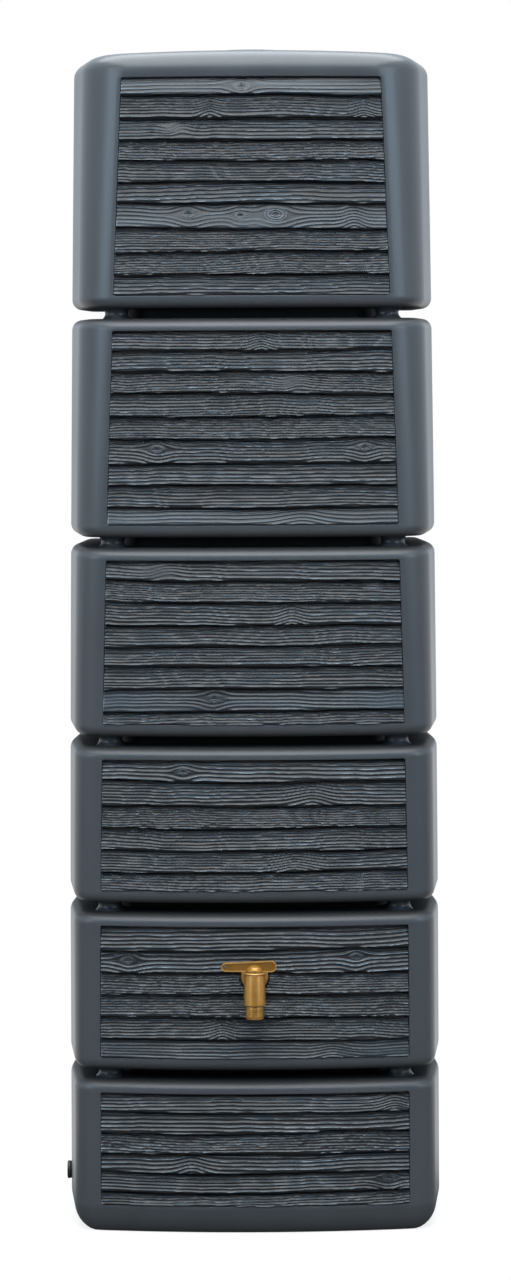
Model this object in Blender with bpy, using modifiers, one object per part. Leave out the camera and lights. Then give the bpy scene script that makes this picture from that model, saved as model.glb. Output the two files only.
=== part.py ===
"""Slim six-tier wall rain barrel with let-in plank panels, a lever tap, a drain plug and a lid.

Metres, +Z up, front towards -Y, origin in the middle of the footprint on the ground.
"""
import math

import bmesh
import bpy
from mathutils import Vector

# Overall form of the moulded tank
BODY_TOP = 1.8275
HALF_DEPTH = 0.190
FRONT_HALF = 0.278
FRONT_TAPER = 0.0185
PARTING_HALF = 0.2932
PARTING_TAPER = 0.0082
TAPER_START = 0.45
TAPER_RUN = 1.145
TAPER_POWER = 1.6
REAR_DRAFT = 0.012
FRONT_BOW = 0.014
BOW_AT = 0.200
FRONT_CORNER = 0.030
FRONT_CORNER_GROWTH = 0.026
REAR_CORNER = 0.028
WALL = 0.004
LEAST_RADIUS = 0.006

# Grooves between the tiers, their necks and their hollow posts
GROOVE_CENTRES = (0.242, 0.500, 0.757, 1.065, 1.420)
GROOVE_HEIGHT = 0.016
TIER_EDGE = 0.016
BASE_EDGE = 0.035
BASE_FRONT_SHARE = 0.3
CROWN_EDGE = 0.030
CROWN_FALL = 0.0035
EDGE_STEPS = 2
NECK_FROM_EDGE = 0.069
NECK_HALF_DEPTH = 0.110
NECK_CORNER = 0.050
POST_RADIUS = 0.018
POST_FROM_EDGE = 0.053
POST_OFFSET = 0.126

# Plank panels let into the tier fronts
PLANKS = (6, 6, 6, 8, 9, 10)
PANEL_HALF = 0.238
PANEL_TAPER = 0.038
PANEL_TAPER_START = 0.36
PANEL_TAPER_RUN = 1.424
PANEL_MARGIN = 0.020
PANEL_TOP_MARGIN = 0.0435
PANEL_BASE_MARGIN = 0.0425
PANEL_DEPTH = 0.0070
PLANK_LAP = 0.0045
PLANK_PROUD = 0.0005
PANEL_COLUMNS = 6
CLEARANCE = 0.0003
POCKET_SIDE_GAP = 0.0008

# Filling mouth and lid
MOUTH_RADIUS = 0.075
SEAT_RADIUS = 0.096
LID_RADIUS = 0.090
LID_FLANGE = 0.004
LID_RISE = 0.006
LID_WALL = 0.003
LID_SKIRT_RADIUS = 0.0735
LID_SKIRT_DEPTH = 0.030
SEAL_THICKNESS = 0.002
SEAL_INNER = 0.0770
SEAL_OUTER = 0.0875
GRIP_LENGTH = 0.065
GRIP_WIDTH = 0.014
GRIP_PROUD = 0.0035

# Lever tap
TAP_Z = 0.3965
TAP_STAND_OFF = 0.048
BARREL_TOP_RADIUS = 0.0150
BARREL_BASE_RADIUS = 0.0166
BARREL_UP = 0.0145
BARREL_DOWN = 0.0355
CHAMBER_RADIUS = 0.0108
CHAMBER_DOWN = 0.0225
WATERWAY_RADIUS = 0.0060
OUTLET_RADIUS = 0.0070
SOCKET_RADIUS = 0.0103
SOCKET_DEPTH = 0.0090
SHOULDER_RADIUS = 0.0210
SHOULDER_THICKNESS = 0.0080
SHANK_RADIUS = 0.0130
SHANK_INSIDE = 0.0200
TAP_GASKET_RADIUS = 0.0225
TAP_GASKET_THICKNESS = 0.0030
LOCK_NUT_RADIUS = 0.0220
LOCK_NUT_THICKNESS = 0.0090
INNER_WASHER_RADIUS = 0.0215
INNER_WASHER_THICKNESS = 0.0025
INNER_WASHER_SET = 0.0008
O_RING_RADIUS = 0.00955
O_RING_SECTION = 0.00095
NOZZLE_RADIUS = 0.0135
NOZZLE_LENGTH = 0.0230
LEVER_LONG = 0.052
LEVER_SHORT = 0.0335
LEVER_HEIGHT = 0.016
LEVER_THICKNESS = 0.006
LEVER_END = 0.0062
LEVER_RECESS = 0.0010
LEVER_RIM = 0.0020
DOME_RADIUS = 0.0105
STEM_SCREW_RADIUS = 0.0020

# Drain plug low on the left side
DRAIN_Z = 0.060
DRAIN_HOLE_RADIUS = 0.0130
DRAIN_BORE_RADIUS = 0.0100
DRAIN_FLANGE_RADIUS = 0.0175
DRAIN_FLANGE_THICKNESS = 0.0040
DRAIN_INSERT_LENGTH = 0.0160
DRAIN_HEAD_RADIUS = 0.0140
DRAIN_HEAD_THICKNESS = 0.0045
DRAIN_SEAL_THICKNESS = 0.0015

ROUND_STEPS = 24
FINE_STEPS = 36
FRONT_STEPS = 4
CORNER_STEPS = 4
PARTING_POINT = FRONT_STEPS + CORNER_STEPS + 2
PARTING_BEND = 0.020
TIERS = len(PLANKS)

for stale in list(bpy.data.objects):
    bpy.data.objects.remove(stale, do_unlink=True)

PARTS = bpy.data.collections.new("rain_barrel")
HELPERS = bpy.data.collections.new("rain_barrel_cutters")
bpy.context.scene.collection.children.link(PARTS)
bpy.context.scene.collection.children.link(HELPERS)


def finish(obj, colour, roughness, metallic=0.0):
    """Give a part its own Principled material."""
    material = bpy.data.materials.new(obj.name + "_finish")
    material.use_nodes = True
    shader = material.node_tree.nodes["Principled BSDF"]
    shader.inputs["Base Color"].default_value = (*colour, 1.0)
    shader.inputs["Roughness"].default_value = roughness
    shader.inputs["Metallic"].default_value = metallic
    obj.data.materials.append(material)
    return obj


def place(name, mesh, helper=False):
    """Link a mesh as a part, or as a hidden helper of a Boolean."""
    obj = bpy.data.objects.new(name, mesh)
    (HELPERS if helper else PARTS).objects.link(obj)
    if helper:
        obj.hide_render = True
        obj.display_type = "WIRE"
    return obj


def from_bmesh(name, bm, helper=False):
    """Turn an edited mesh into a placed object."""
    mesh = bpy.data.meshes.new(name)
    bm.to_mesh(mesh)
    bm.free()
    return place(name, mesh, helper)


def add_loft(bm, rings):
    """Skin a row of equal rings and close both ends."""
    rows = [[bm.verts.new(point) for point in ring] for ring in rings]
    count = len(rows[0])
    for low, high in zip(rows, rows[1:]):
        for i in range(count):
            j = (i + 1) % count
            bm.faces.new((low[i], low[j], high[j], high[i]))
    bm.faces.new(list(reversed(rows[0])))
    bm.faces.new(rows[-1])


def add_cylinder(bm, radius, centre, height, segments=16):
    """Add an upright cylinder about a centre point."""
    made = bmesh.ops.create_cone(
        bm, cap_ends=True, segments=segments, radius1=radius, radius2=radius, depth=height
    )
    bmesh.ops.translate(bm, verts=made["verts"], vec=centre)


def revolve(name, profile, closed=True, steps=ROUND_STEPS, helper=False):
    """Turn a profile of (radius, height) points about its own Z axis."""
    bm = bmesh.new()
    points = [bm.verts.new((radius, 0.0, height)) for radius, height in profile]
    for first, second in zip(points, points[1:]):
        bm.edges.new((first, second))
    if closed:
        bm.edges.new((points[-1], points[0]))
    obj = from_bmesh(name, bm, helper)
    turn = obj.modifiers.new("turn", "SCREW")
    turn.axis = "Z"
    turn.angle = math.tau
    turn.screw_offset = 0.0
    turn.steps = steps
    turn.render_steps = steps
    turn.use_merge_vertices = True
    turn.merge_threshold = 0.00005
    turn.use_smooth_shade = False
    return obj


def ring_profile(outer, inner, low, high):
    """Section of a plain ring or tube."""
    return ((outer, high), (outer, low), (inner, low), (inner, high))


def boolean(obj, tool, operation):
    """Cut, join or keep with an exact Boolean."""
    modifier = obj.modifiers.new(tool.name, "BOOLEAN")
    modifier.operation = operation
    modifier.solver = "EXACT"
    modifier.object = tool


def taper(z, start, run):
    """Share of the side taper reached at a height."""
    return (max(0.0, z - start) / run) ** TAPER_POWER


def front_half(z):
    """Half width at the front corners."""
    return FRONT_HALF - FRONT_TAPER * taper(z, TAPER_START, TAPER_RUN)


def parting_half(z):
    """Half width at the parting plane, the widest part."""
    return PARTING_HALF - PARTING_TAPER * taper(z, TAPER_START, TAPER_RUN)


def panel_half(z):
    """Half width of a plank panel."""
    return PANEL_HALF - PANEL_TAPER * taper(z, PANEL_TAPER_START, PANEL_TAPER_RUN)


def bow(x):
    """How far the bowed front falls back at a distance from the middle."""
    return FRONT_BOW * (x / BOW_AT) ** 2


def bend(start, corner, end, steps):
    """Points along a curve that rounds a corner."""
    points = []
    for i in range(steps + 1):
        t = i / steps
        a = (1.0 - t) ** 2
        b = 2.0 * t * (1.0 - t)
        c = t * t
        points.append((a * start[0] + b * corner[0] + c * end[0], a * start[1] + b * corner[1] + c * end[1]))
    return points


def towards(start, end, distance):
    """Point at a distance from start on the way to end."""
    length = math.dist(start, end)
    share = distance / length
    return (start[0] + share * (end[0] - start[0]), start[1] + share * (end[1] - start[1]))


def plan(front, middle, rear, y_front, y_back, bowed, front_radius, rear_radius):
    """Plan outline of the tank, anticlockwise from the middle of the front."""
    def face(x):
        return y_front + (bow(x) if bowed else 0.0)

    straight = front - front_radius
    corner = (front, face(front))
    widest = (middle, 0.0)
    back = (rear, y_back)
    columns = [straight * i / FRONT_STEPS for i in range(FRONT_STEPS)]
    half = [(x, face(x)) for x in columns]
    half += bend((straight, face(straight)), corner, towards(corner, widest, front_radius), CORNER_STEPS)
    half += bend(towards(widest, corner, PARTING_BEND), widest, towards(widest, back, PARTING_BEND), 2)
    half += bend(towards(back, widest, rear_radius), back, (rear - rear_radius, y_back), 3)
    half += [((rear - rear_radius) / 2.0, y_back), (0.0, y_back)]
    return half + [(-x, y) for x, y in reversed(half[1:-1])]


def tier_plan(z, inset=0.0, front_inset=None):
    """Plan outline of a tier at a height, drawn in by an inset."""
    front_inset = inset if front_inset is None else front_inset
    corner = FRONT_CORNER + FRONT_CORNER_GROWTH * taper(z, TAPER_START, TAPER_RUN)
    middle = parting_half(z)
    return plan(
        front_half(z) - inset,
        middle - inset,
        middle - REAR_DRAFT - inset,
        -HALF_DEPTH + front_inset,
        HALF_DEPTH - inset,
        True,
        max(corner - inset, LEAST_RADIUS),
        max(REAR_CORNER - inset, LEAST_RADIUS),
    )


def neck_plan(z, inset=0.0):
    """Plan outline of the neck that joins two tiers across the groove at a height."""
    half = front_half(z) - NECK_FROM_EDGE - inset
    depth = NECK_HALF_DEPTH - inset
    corner = NECK_CORNER - inset
    return plan(half, half, half, -depth, depth, False, corner, corner)


def side_levels(z, reach, inset=0.0):
    """Least and greatest half width of a side within a reach of the parting plane."""
    before, middle, after = tier_plan(z, inset)[PARTING_POINT - 1:PARTING_POINT + 2]
    levels = [middle[0]]
    for x, y in (before, after):
        levels.append(middle[0] + (x - middle[0]) * reach / abs(y))
    return min(levels), max(levels)


RING_POINTS = len(neck_plan(GROOVE_CENTRES[0]))


def circle_plan(radius):
    """Round outline with as many points as the tank's plan."""
    points = []
    for i in range(RING_POINTS):
        angle = math.tau * i / RING_POINTS - math.pi / 2.0
        points.append((radius * math.cos(angle), radius * math.sin(angle)))
    return points


def at(outline, z):
    """Lift a plan outline to a height."""
    return [(x, y, z) for x, y in outline]


def tier_span(tier):
    """Lowest and highest level of a tier, counted from the ground."""
    low = 0.0 if tier == 0 else GROOVE_CENTRES[tier - 1] + GROOVE_HEIGHT / 2.0
    high = BODY_TOP if tier == TIERS - 1 else GROOVE_CENTRES[tier] - GROOVE_HEIGHT / 2.0
    return low, high


def tier_rings(tier, wall, front_wall, steps):
    """Rings up one tier, from its underside to its top, set in by a wall."""
    low, high = tier_span(tier)
    low_edge = (BASE_EDGE if tier == 0 else TIER_EDGE) - wall
    high_edge = (CROWN_EDGE if tier == TIERS - 1 else TIER_EDGE) - wall
    front_share = BASE_FRONT_SHARE if tier == 0 else 1.0
    fall = CROWN_FALL if tier == TIERS - 1 else 0.0
    low += wall
    high -= wall
    rings = []
    for i in range(steps + 1):
        angle = math.pi / 2.0 * i / steps
        z = low + low_edge * (1.0 - math.cos(angle))
        inset = low_edge * (1.0 - math.sin(angle))
        rings.append(at(tier_plan(z, inset + wall, front_share * inset + front_wall), z))
    middle = (low + high) / 2.0
    rings.append(at(tier_plan(middle, wall, front_wall), middle))
    for i in range(steps + 1):
        angle = math.pi / 2.0 * i / steps
        z = high - high_edge * (1.0 - math.sin(angle))
        inset = high_edge * (1.0 - math.cos(angle))
        outline = tier_plan(z, inset + wall, inset + front_wall)
        rings.append([(x, y, z - fall * math.sin(angle) * (x / BOW_AT) ** 2) for x, y in outline])
    return rings


def tank_rings(wall, front_wall, steps):
    """Rings up the whole tank, with a neck across every groove."""
    rings = []
    for tier in range(TIERS):
        rings += tier_rings(tier, wall, front_wall, steps)
        if tier < TIERS - 1:
            neck = neck_plan(GROOVE_CENTRES[tier], wall)
            rings.append(at(neck, tier_span(tier)[1] - wall))
            rings.append(at(neck, tier_span(tier + 1)[0] + wall))
    return rings


FRONT_WALL = PANEL_DEPTH + CLEARANCE + WALL


def build_tank():
    """Moulded hollow tank, open at the filling mouth."""
    bm = bmesh.new()
    add_loft(bm, tank_rings(0.0, 0.0, EDGE_STEPS) + [at(circle_plan(SEAT_RADIUS), BODY_TOP)])
    tank = from_bmesh("tank_shell", bm)

    bm = bmesh.new()
    bores = bmesh.new()
    for z in GROOVE_CENTRES:
        x = front_half(z) - POST_FROM_EDGE
        for side in (-x, x):
            for y in (-POST_OFFSET, POST_OFFSET):
                add_cylinder(bm, POST_RADIUS, (side, y, z), GROOVE_HEIGHT + WALL, 12)
                add_cylinder(bores, POST_RADIUS - WALL, (side, y, z), GROOVE_HEIGHT + 4.0 * WALL, 8)
    boolean(tank, from_bmesh("groove_posts", bm, True), "UNION")

    bm = bmesh.new()
    cavity = tank_rings(WALL, FRONT_WALL, 1)
    cavity.append(at(circle_plan(MOUTH_RADIUS), BODY_TOP - WALL))
    cavity.append(at(circle_plan(MOUTH_RADIUS), BODY_TOP + WALL))
    add_loft(bm, cavity)
    boolean(tank, from_bmesh("tank_cavity", bm, True), "DIFFERENCE")
    boolean(tank, from_bmesh("post_bores", bores, True), "DIFFERENCE")

    bm = bmesh.new()
    for tier in range(TIERS):
        add_panel_slab(bm, tier, POCKET_SIDE_GAP, PANEL_DEPTH + CLEARANCE)
    boolean(tank, from_bmesh("panel_pockets", bm, True), "DIFFERENCE")

    bm = bmesh.new()
    reach = 2.0 * FRONT_WALL
    add_cylinder(bm, SHANK_RADIUS + CLEARANCE, (0.0, 0.0, HALF_DEPTH - reach / 2.0), 2.0 * reach, 24)
    bmesh.ops.rotate(bm, verts=bm.verts, cent=(0, 0, 0), matrix=turn_to((0.0, -1.0, 0.0)))
    bmesh.ops.translate(bm, verts=bm.verts, vec=(0.0, 0.0, TAP_Z))
    boolean(tank, from_bmesh("tap_hole", bm, True), "DIFFERENCE")

    bm = bmesh.new()
    side = side_levels(DRAIN_Z, DRAIN_FLANGE_RADIUS)[1]
    add_cylinder(bm, DRAIN_HOLE_RADIUS + CLEARANCE, (0.0, 0.0, side), 8.0 * WALL, 24)
    bmesh.ops.rotate(bm, verts=bm.verts, cent=(0, 0, 0), matrix=turn_to((-1.0, 0.0, 0.0)))
    bmesh.ops.translate(bm, verts=bm.verts, vec=(0.0, 0.0, DRAIN_Z))
    boolean(tank, from_bmesh("drain_hole", bm, True), "DIFFERENCE")
    return finish(tank, (0.085, 0.100, 0.115), 0.45)


def turn_to(direction):
    """Turn that carries +Z to a direction."""
    return Vector(direction).to_track_quat("Z", "Y").to_matrix()


def panel_span(tier):
    """Lowest and highest level of a tier's plank panel."""
    low, high = tier_span(tier)
    low += PANEL_BASE_MARGIN if tier == 0 else PANEL_MARGIN
    high -= PANEL_TOP_MARGIN if tier == TIERS - 1 else PANEL_MARGIN
    return low, high


def panel_columns(tier, gap, levels):
    """Rings across a panel, one for each column, through (height, depth) levels."""
    low, high = panel_span(tier)
    rings = []
    for i in range(PANEL_COLUMNS + 1):
        across = 2.0 * i / PANEL_COLUMNS - 1.0
        ring = []
        for z, depth in levels:
            share = (z - low) / (high - low)
            half = (1.0 - share) * panel_half(low) + share * panel_half(high) + gap
            x = half * across
            ring.append((x, -HALF_DEPTH + bow(x) + depth, z))
        rings.append(ring)
    return rings[::-1]


def add_panel_slab(bm, tier, gap, depth):
    """Add the bowed slab that clears a panel's pocket."""
    low, high = panel_span(tier)
    low -= gap
    high += gap
    proud = -2.0 * PANEL_DEPTH
    add_loft(bm, panel_columns(tier, gap, ((high, depth), (low, depth), (low, proud), (high, proud))))


def build_panel(tier):
    """Lapped plank panel of one tier."""
    low, high = panel_span(tier)
    pitch = (high - low) / PLANKS[tier]
    levels = [(high, PANEL_DEPTH), (low, PANEL_DEPTH)]
    for plank in range(PLANKS[tier]):
        levels.append((low + plank * pitch, -PLANK_PROUD))
        levels.append((low + (plank + 1) * pitch, PLANK_LAP))
    bm = bmesh.new()
    add_loft(bm, panel_columns(tier, 0.0, levels))
    panel = from_bmesh("tier_%d_panel" % (TIERS - tier), bm)
    if low < TAP_Z < high:
        bm = bmesh.new()
        add_cylinder(bm, TAP_GASKET_RADIUS + 2.0 * CLEARANCE, (0.0, 0.0, HALF_DEPTH), 8.0 * PANEL_DEPTH, 32)
        bmesh.ops.rotate(bm, verts=bm.verts, cent=(0, 0, 0), matrix=turn_to((0.0, -1.0, 0.0)))
        bmesh.ops.translate(bm, verts=bm.verts, vec=(0.0, 0.0, TAP_Z))
        boolean(panel, from_bmesh("panel_tap_hole", bm, True), "DIFFERENCE")
    return finish(panel, (0.055, 0.068, 0.082), 0.6)


def build_lid():
    """Domed lid that drops into the filling mouth, and its flat seal."""
    seat = BODY_TOP + CLEARANCE
    seal = revolve("lid_seal", ring_profile(SEAL_OUTER, SEAL_INNER, 0.0, SEAL_THICKNESS), steps=FINE_STEPS)
    seal.location = (0.0, 0.0, seat)
    finish(seal, (0.012, 0.012, 0.012), 0.8)

    dome = LID_FLANGE + LID_RISE
    inner = LID_SKIRT_RADIUS - LID_WALL
    profile = (
        (0.0, dome),
        (0.35 * LID_RADIUS, dome - 0.12 * LID_RISE),
        (0.70 * LID_RADIUS, dome - 0.49 * LID_RISE),
        (0.97 * LID_RADIUS, dome - 0.94 * LID_RISE),
        (LID_RADIUS, 0.6 * LID_FLANGE),
        (LID_RADIUS, 0.0),
        (LID_SKIRT_RADIUS, 0.0),
        (LID_SKIRT_RADIUS, -LID_SKIRT_DEPTH),
        (inner, -LID_SKIRT_DEPTH),
        (inner, dome - 0.66 * LID_RISE - LID_WALL),
        (0.0, dome - LID_WALL),
    )
    lid = revolve("lid", profile, closed=False, steps=FINE_STEPS)
    lid.location = (0.0, 0.0, seat + SEAL_THICKNESS + CLEARANCE)
    bm = bmesh.new()
    bmesh.ops.create_cube(bm, size=1.0)
    height = GRIP_PROUD + LID_WALL / 2.0
    bmesh.ops.scale(bm, verts=bm.verts, vec=(GRIP_LENGTH, GRIP_WIDTH, height))
    bmesh.ops.bevel(
        bm,
        geom=[edge for edge in bm.edges if abs(edge.verts[0].co.z - edge.verts[1].co.z) > height / 2.0],
        offset=GRIP_WIDTH * 0.4,
        segments=3,
        profile=0.5,
        affect="EDGES",
    )
    grip = from_bmesh("lid_grip", bm, True)
    grip.location = lid.location + Vector((0.0, 0.0, dome - LID_WALL / 2.0 + height / 2.0))
    boolean(lid, grip, "UNION")
    return finish(lid, (0.075, 0.088, 0.100), 0.5)


def build_tap():
    """Lever tap on the middle of the fifth tier: body, seals, plug, lever, nozzle and lock nut."""
    floor = -HALF_DEPTH + PANEL_DEPTH + CLEARANCE
    axis = Vector((0.0, -HALF_DEPTH - TAP_STAND_OFF, TAP_Z))
    bronze = (0.245, 0.135, 0.040)
    rubber = (0.010, 0.010, 0.010)

    gasket_face = floor - CLEARANCE
    shoulder_face = gasket_face - TAP_GASKET_THICKNESS - CLEARANCE
    gasket = revolve(
        "tap_gasket",
        ring_profile(TAP_GASKET_RADIUS, SHANK_RADIUS + CLEARANCE, 0.0, TAP_GASKET_THICKNESS),
    )
    gasket.rotation_euler = (math.pi / 2.0, 0.0, 0.0)
    gasket.location = (0.0, gasket_face, TAP_Z)
    finish(gasket, rubber, 0.85)

    body = revolve(
        "tap_body",
        (
            (0.0, BARREL_UP),
            (BARREL_TOP_RADIUS, BARREL_UP),
            (BARREL_TOP_RADIUS + 0.0008, BARREL_UP - 0.0012),
            (BARREL_TOP_RADIUS, BARREL_UP - 0.0024),
            (BARREL_BASE_RADIUS, -BARREL_DOWN + 0.0010),
            (BARREL_BASE_RADIUS - 0.0010, -BARREL_DOWN),
            (0.0, -BARREL_DOWN),
        ),
        closed=False,
    )
    body.location = axis
    reach = shoulder_face - axis.y
    inside = -HALF_DEPTH + FRONT_WALL + SHANK_INSIDE - axis.y
    shank = revolve(
        "tap_shank",
        (
            (0.0, 0.0),
            (0.8 * SHANK_RADIUS, 0.0),
            (0.8 * SHANK_RADIUS, -reach + SHOULDER_THICKNESS + 0.004),
            (0.9 * SHOULDER_RADIUS, -reach + SHOULDER_THICKNESS),
            (SHOULDER_RADIUS, -reach + 0.7 * SHOULDER_THICKNESS),
            (SHOULDER_RADIUS, -reach),
            (SHANK_RADIUS, -reach),
            (SHANK_RADIUS, -inside),
            (0.0, -inside),
        ),
        closed=False,
        helper=True,
    )
    shank.rotation_euler = (math.pi / 2.0, 0.0, 0.0)
    shank.location = axis
    boolean(body, shank, "UNION")
    chamber = revolve(
        "tap_chamber",
        (
            (0.0, 2.0 * BARREL_UP),
            (CHAMBER_RADIUS, 2.0 * BARREL_UP),
            (CHAMBER_RADIUS, -CHAMBER_DOWN),
            (OUTLET_RADIUS, -CHAMBER_DOWN),
            (OUTLET_RADIUS, -BARREL_DOWN + SOCKET_DEPTH),
            (SOCKET_RADIUS, -BARREL_DOWN + SOCKET_DEPTH),
            (SOCKET_RADIUS, -2.0 * BARREL_DOWN),
            (0.0, -2.0 * BARREL_DOWN),
        ),
        closed=False,
        helper=True,
    )
    chamber.location = axis
    boolean(body, chamber, "DIFFERENCE")
    waterway = revolve(
        "tap_waterway",
        ((0.0, 0.0), (WATERWAY_RADIUS, 0.0), (WATERWAY_RADIUS, -2.0 * inside), (0.0, -2.0 * inside)),
        closed=False,
        steps=20,
        helper=True,
    )
    waterway.rotation_euler = (math.pi / 2.0, 0.0, 0.0)
    waterway.location = axis
    boolean(body, waterway, "DIFFERENCE")
    finish(body, bronze, 0.35, 0.6)

    wall_face = -HALF_DEPTH + FRONT_WALL + INNER_WASHER_SET
    washer = revolve(
        "tap_inner_washer",
        ring_profile(INNER_WASHER_RADIUS, SHANK_RADIUS + CLEARANCE, -INNER_WASHER_THICKNESS, 0.0),
    )
    washer.rotation_euler = (math.pi / 2.0, 0.0, 0.0)
    washer.location = (0.0, wall_face, TAP_Z)
    finish(washer, rubber, 0.85)

    bm = bmesh.new()
    add_cylinder(bm, LOCK_NUT_RADIUS, (0.0, 0.0, 0.0), LOCK_NUT_THICKNESS, 6)
    nut = from_bmesh("tap_lock_nut", bm)
    bm = bmesh.new()
    add_cylinder(bm, SHANK_RADIUS + CLEARANCE, (0.0, 0.0, 0.0), 2.0 * LOCK_NUT_THICKNESS, ROUND_STEPS)
    nut_bore = from_bmesh("lock_nut_bore", bm, True)
    nut_centre = wall_face + INNER_WASHER_THICKNESS + CLEARANCE + LOCK_NUT_THICKNESS / 2.0
    for piece in (nut, nut_bore):
        piece.rotation_euler = (math.pi / 2.0, 0.0, 0.0)
        piece.location = (0.0, nut_centre, TAP_Z)
    boolean(nut, nut_bore, "DIFFERENCE")
    finish(nut, (0.020, 0.021, 0.022), 0.55)

    build_plug(axis, bronze, rubber)
    build_lever(axis, bronze)
    build_nozzle(axis, bronze, rubber)


def build_plug(axis, bronze, rubber):
    """Turning plug with its waterway across the flow when shut, and its two O-rings."""
    radius = CHAMBER_RADIUS - CLEARANCE
    groove = O_RING_RADIUS - O_RING_SECTION - CLEARANCE
    half = O_RING_SECTION + CLEARANCE
    top = BARREL_UP - CLEARANCE
    low = -CHAMBER_DOWN + CLEARANCE
    upper = (WATERWAY_RADIUS + top) / 2.0
    lower = (low - WATERWAY_RADIUS) / 2.0
    plug = revolve(
        "tap_plug",
        (
            (0.0, top),
            (radius, top),
            (radius, upper + half),
            (groove, upper + half),
            (groove, upper - half),
            (radius, upper - half),
            (radius, lower + half),
            (groove, lower + half),
            (groove, lower - half),
            (radius, lower - half),
            (radius, low),
            (0.0, low),
        ),
        closed=False,
    )
    plug.location = axis
    bm = bmesh.new()
    add_cylinder(bm, WATERWAY_RADIUS, (0.0, 0.0, 0.0), 4.0 * radius, 20)
    cross = from_bmesh("plug_cross_way", bm, True)
    cross.rotation_euler = (0.0, math.pi / 2.0, 0.0)
    cross.location = axis
    boolean(plug, cross, "DIFFERENCE")
    bm = bmesh.new()
    add_cylinder(bm, 0.9 * WATERWAY_RADIUS, (0.0, 0.0, low), -2.0 * low, 20)
    down = from_bmesh("plug_down_way", bm, True)
    down.location = axis
    boolean(plug, down, "DIFFERENCE")
    bm = bmesh.new()
    add_cylinder(bm, STEM_SCREW_RADIUS + CLEARANCE, (0.0, 0.0, top), 2.0 * (top - upper), 16)
    screw_hole = from_bmesh("plug_screw_hole", bm, True)
    screw_hole.location = axis
    boolean(plug, screw_hole, "DIFFERENCE")
    finish(plug, bronze, 0.4, 0.6)

    for name, level in (("tap_plug_o_ring_upper", upper), ("tap_plug_o_ring_lower", lower)):
        section = []
        for i in range(8):
            angle = -math.tau * i / 8.0
            section.append((O_RING_RADIUS + O_RING_SECTION * math.cos(angle), O_RING_SECTION * math.sin(angle)))
        ring = revolve(name, section)
        ring.location = axis + Vector((0.0, 0.0, level))
        finish(ring, rubber, 0.8)

    length = top - upper - 2.0 * CLEARANCE + 0.45 * DOME_RADIUS
    screw = revolve(
        "tap_stem_screw",
        (
            (0.0, length),
            (STEM_SCREW_RADIUS, length),
            (STEM_SCREW_RADIUS, 0.0),
            (0.0, 0.0),
        ),
        closed=False,
        steps=16,
    )
    screw.location = axis + Vector((0.0, 0.0, upper + CLEARANCE))
    finish(screw, (0.45, 0.45, 0.44), 0.3, 1.0)


def lever_outline(shrink):
    """Outline of the lever plate in X and Z about its middle line."""
    end = LEVER_END - shrink
    top = LEVER_HEIGHT / 2.0 - shrink
    left = -LEVER_LONG + LEVER_END
    right = LEVER_SHORT - LEVER_HEIGHT / 2.0
    points = []
    for i in range(9):
        angle = math.pi / 2.0 + math.pi * i / 8.0
        points.append((left + end * math.cos(angle), end * math.sin(angle) - 0.001))
    for i in range(9):
        angle = -math.pi / 2.0 + math.pi * i / 8.0
        points.append((right + top * math.cos(angle), top * math.sin(angle)))
    return points


def add_plate(bm, outline, low, high):
    """Add a flat plate of an outline in X and Z between two levels of Y."""
    rows = [[(x, y, z) for x, z in outline] for y in (high, low)]
    add_loft(bm, rows)


def build_lever(axis, bronze):
    """Lever plate with a domed hub, which turns the plug."""
    base = BARREL_UP + CLEARANCE
    handle = revolve(
        "tap_handle",
        (
            (0.0, base + 1.12 * DOME_RADIUS),
            (0.38 * DOME_RADIUS, base + 1.04 * DOME_RADIUS),
            (0.71 * DOME_RADIUS, base + 0.81 * DOME_RADIUS),
            (0.92 * DOME_RADIUS, base + 0.48 * DOME_RADIUS),
            (DOME_RADIUS, base + 0.10 * DOME_RADIUS),
            (DOME_RADIUS, base),
            (0.0, base),
        ),
        closed=False,
    )
    handle.location = axis
    level = base + 2.0 * CLEARANCE + LEVER_HEIGHT / 2.0
    centre = axis + Vector((0.0, 0.0, level))
    half = LEVER_THICKNESS / 2.0
    bm = bmesh.new()
    add_plate(bm, lever_outline(0.0), -half, half)
    plate = from_bmesh("lever_plate", bm, True)
    plate.location = centre
    bm = bmesh.new()
    add_plate(bm, lever_outline(LEVER_RIM), -2.0 * half, -half + LEVER_RECESS)
    add_plate(bm, lever_outline(LEVER_RIM), half - LEVER_RECESS, 2.0 * half)
    recess = from_bmesh("lever_recess", bm, True)
    recess.location = centre
    boolean(plate, recess, "DIFFERENCE")
    bm = bmesh.new()
    add_cylinder(bm, 0.0018, (0.0, 0.0, 0.0), 4.0 * LEVER_THICKNESS, 16)
    eye = from_bmesh("lever_eye", bm, True)
    eye.rotation_euler = (math.pi / 2.0, 0.0, 0.0)
    eye.location = centre + Vector((-LEVER_LONG + LEVER_END, 0.0, -0.001))
    boolean(plate, eye, "DIFFERENCE")
    boolean(handle, plate, "UNION")
    bm = bmesh.new()
    add_cylinder(bm, STEM_SCREW_RADIUS + CLEARANCE, (0.0, 0.0, base), 1.1 * DOME_RADIUS, 16)
    hole = from_bmesh("lever_screw_hole", bm, True)
    hole.location = axis
    boolean(handle, hole, "DIFFERENCE")
    return finish(handle, bronze, 0.35, 0.6)


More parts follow.
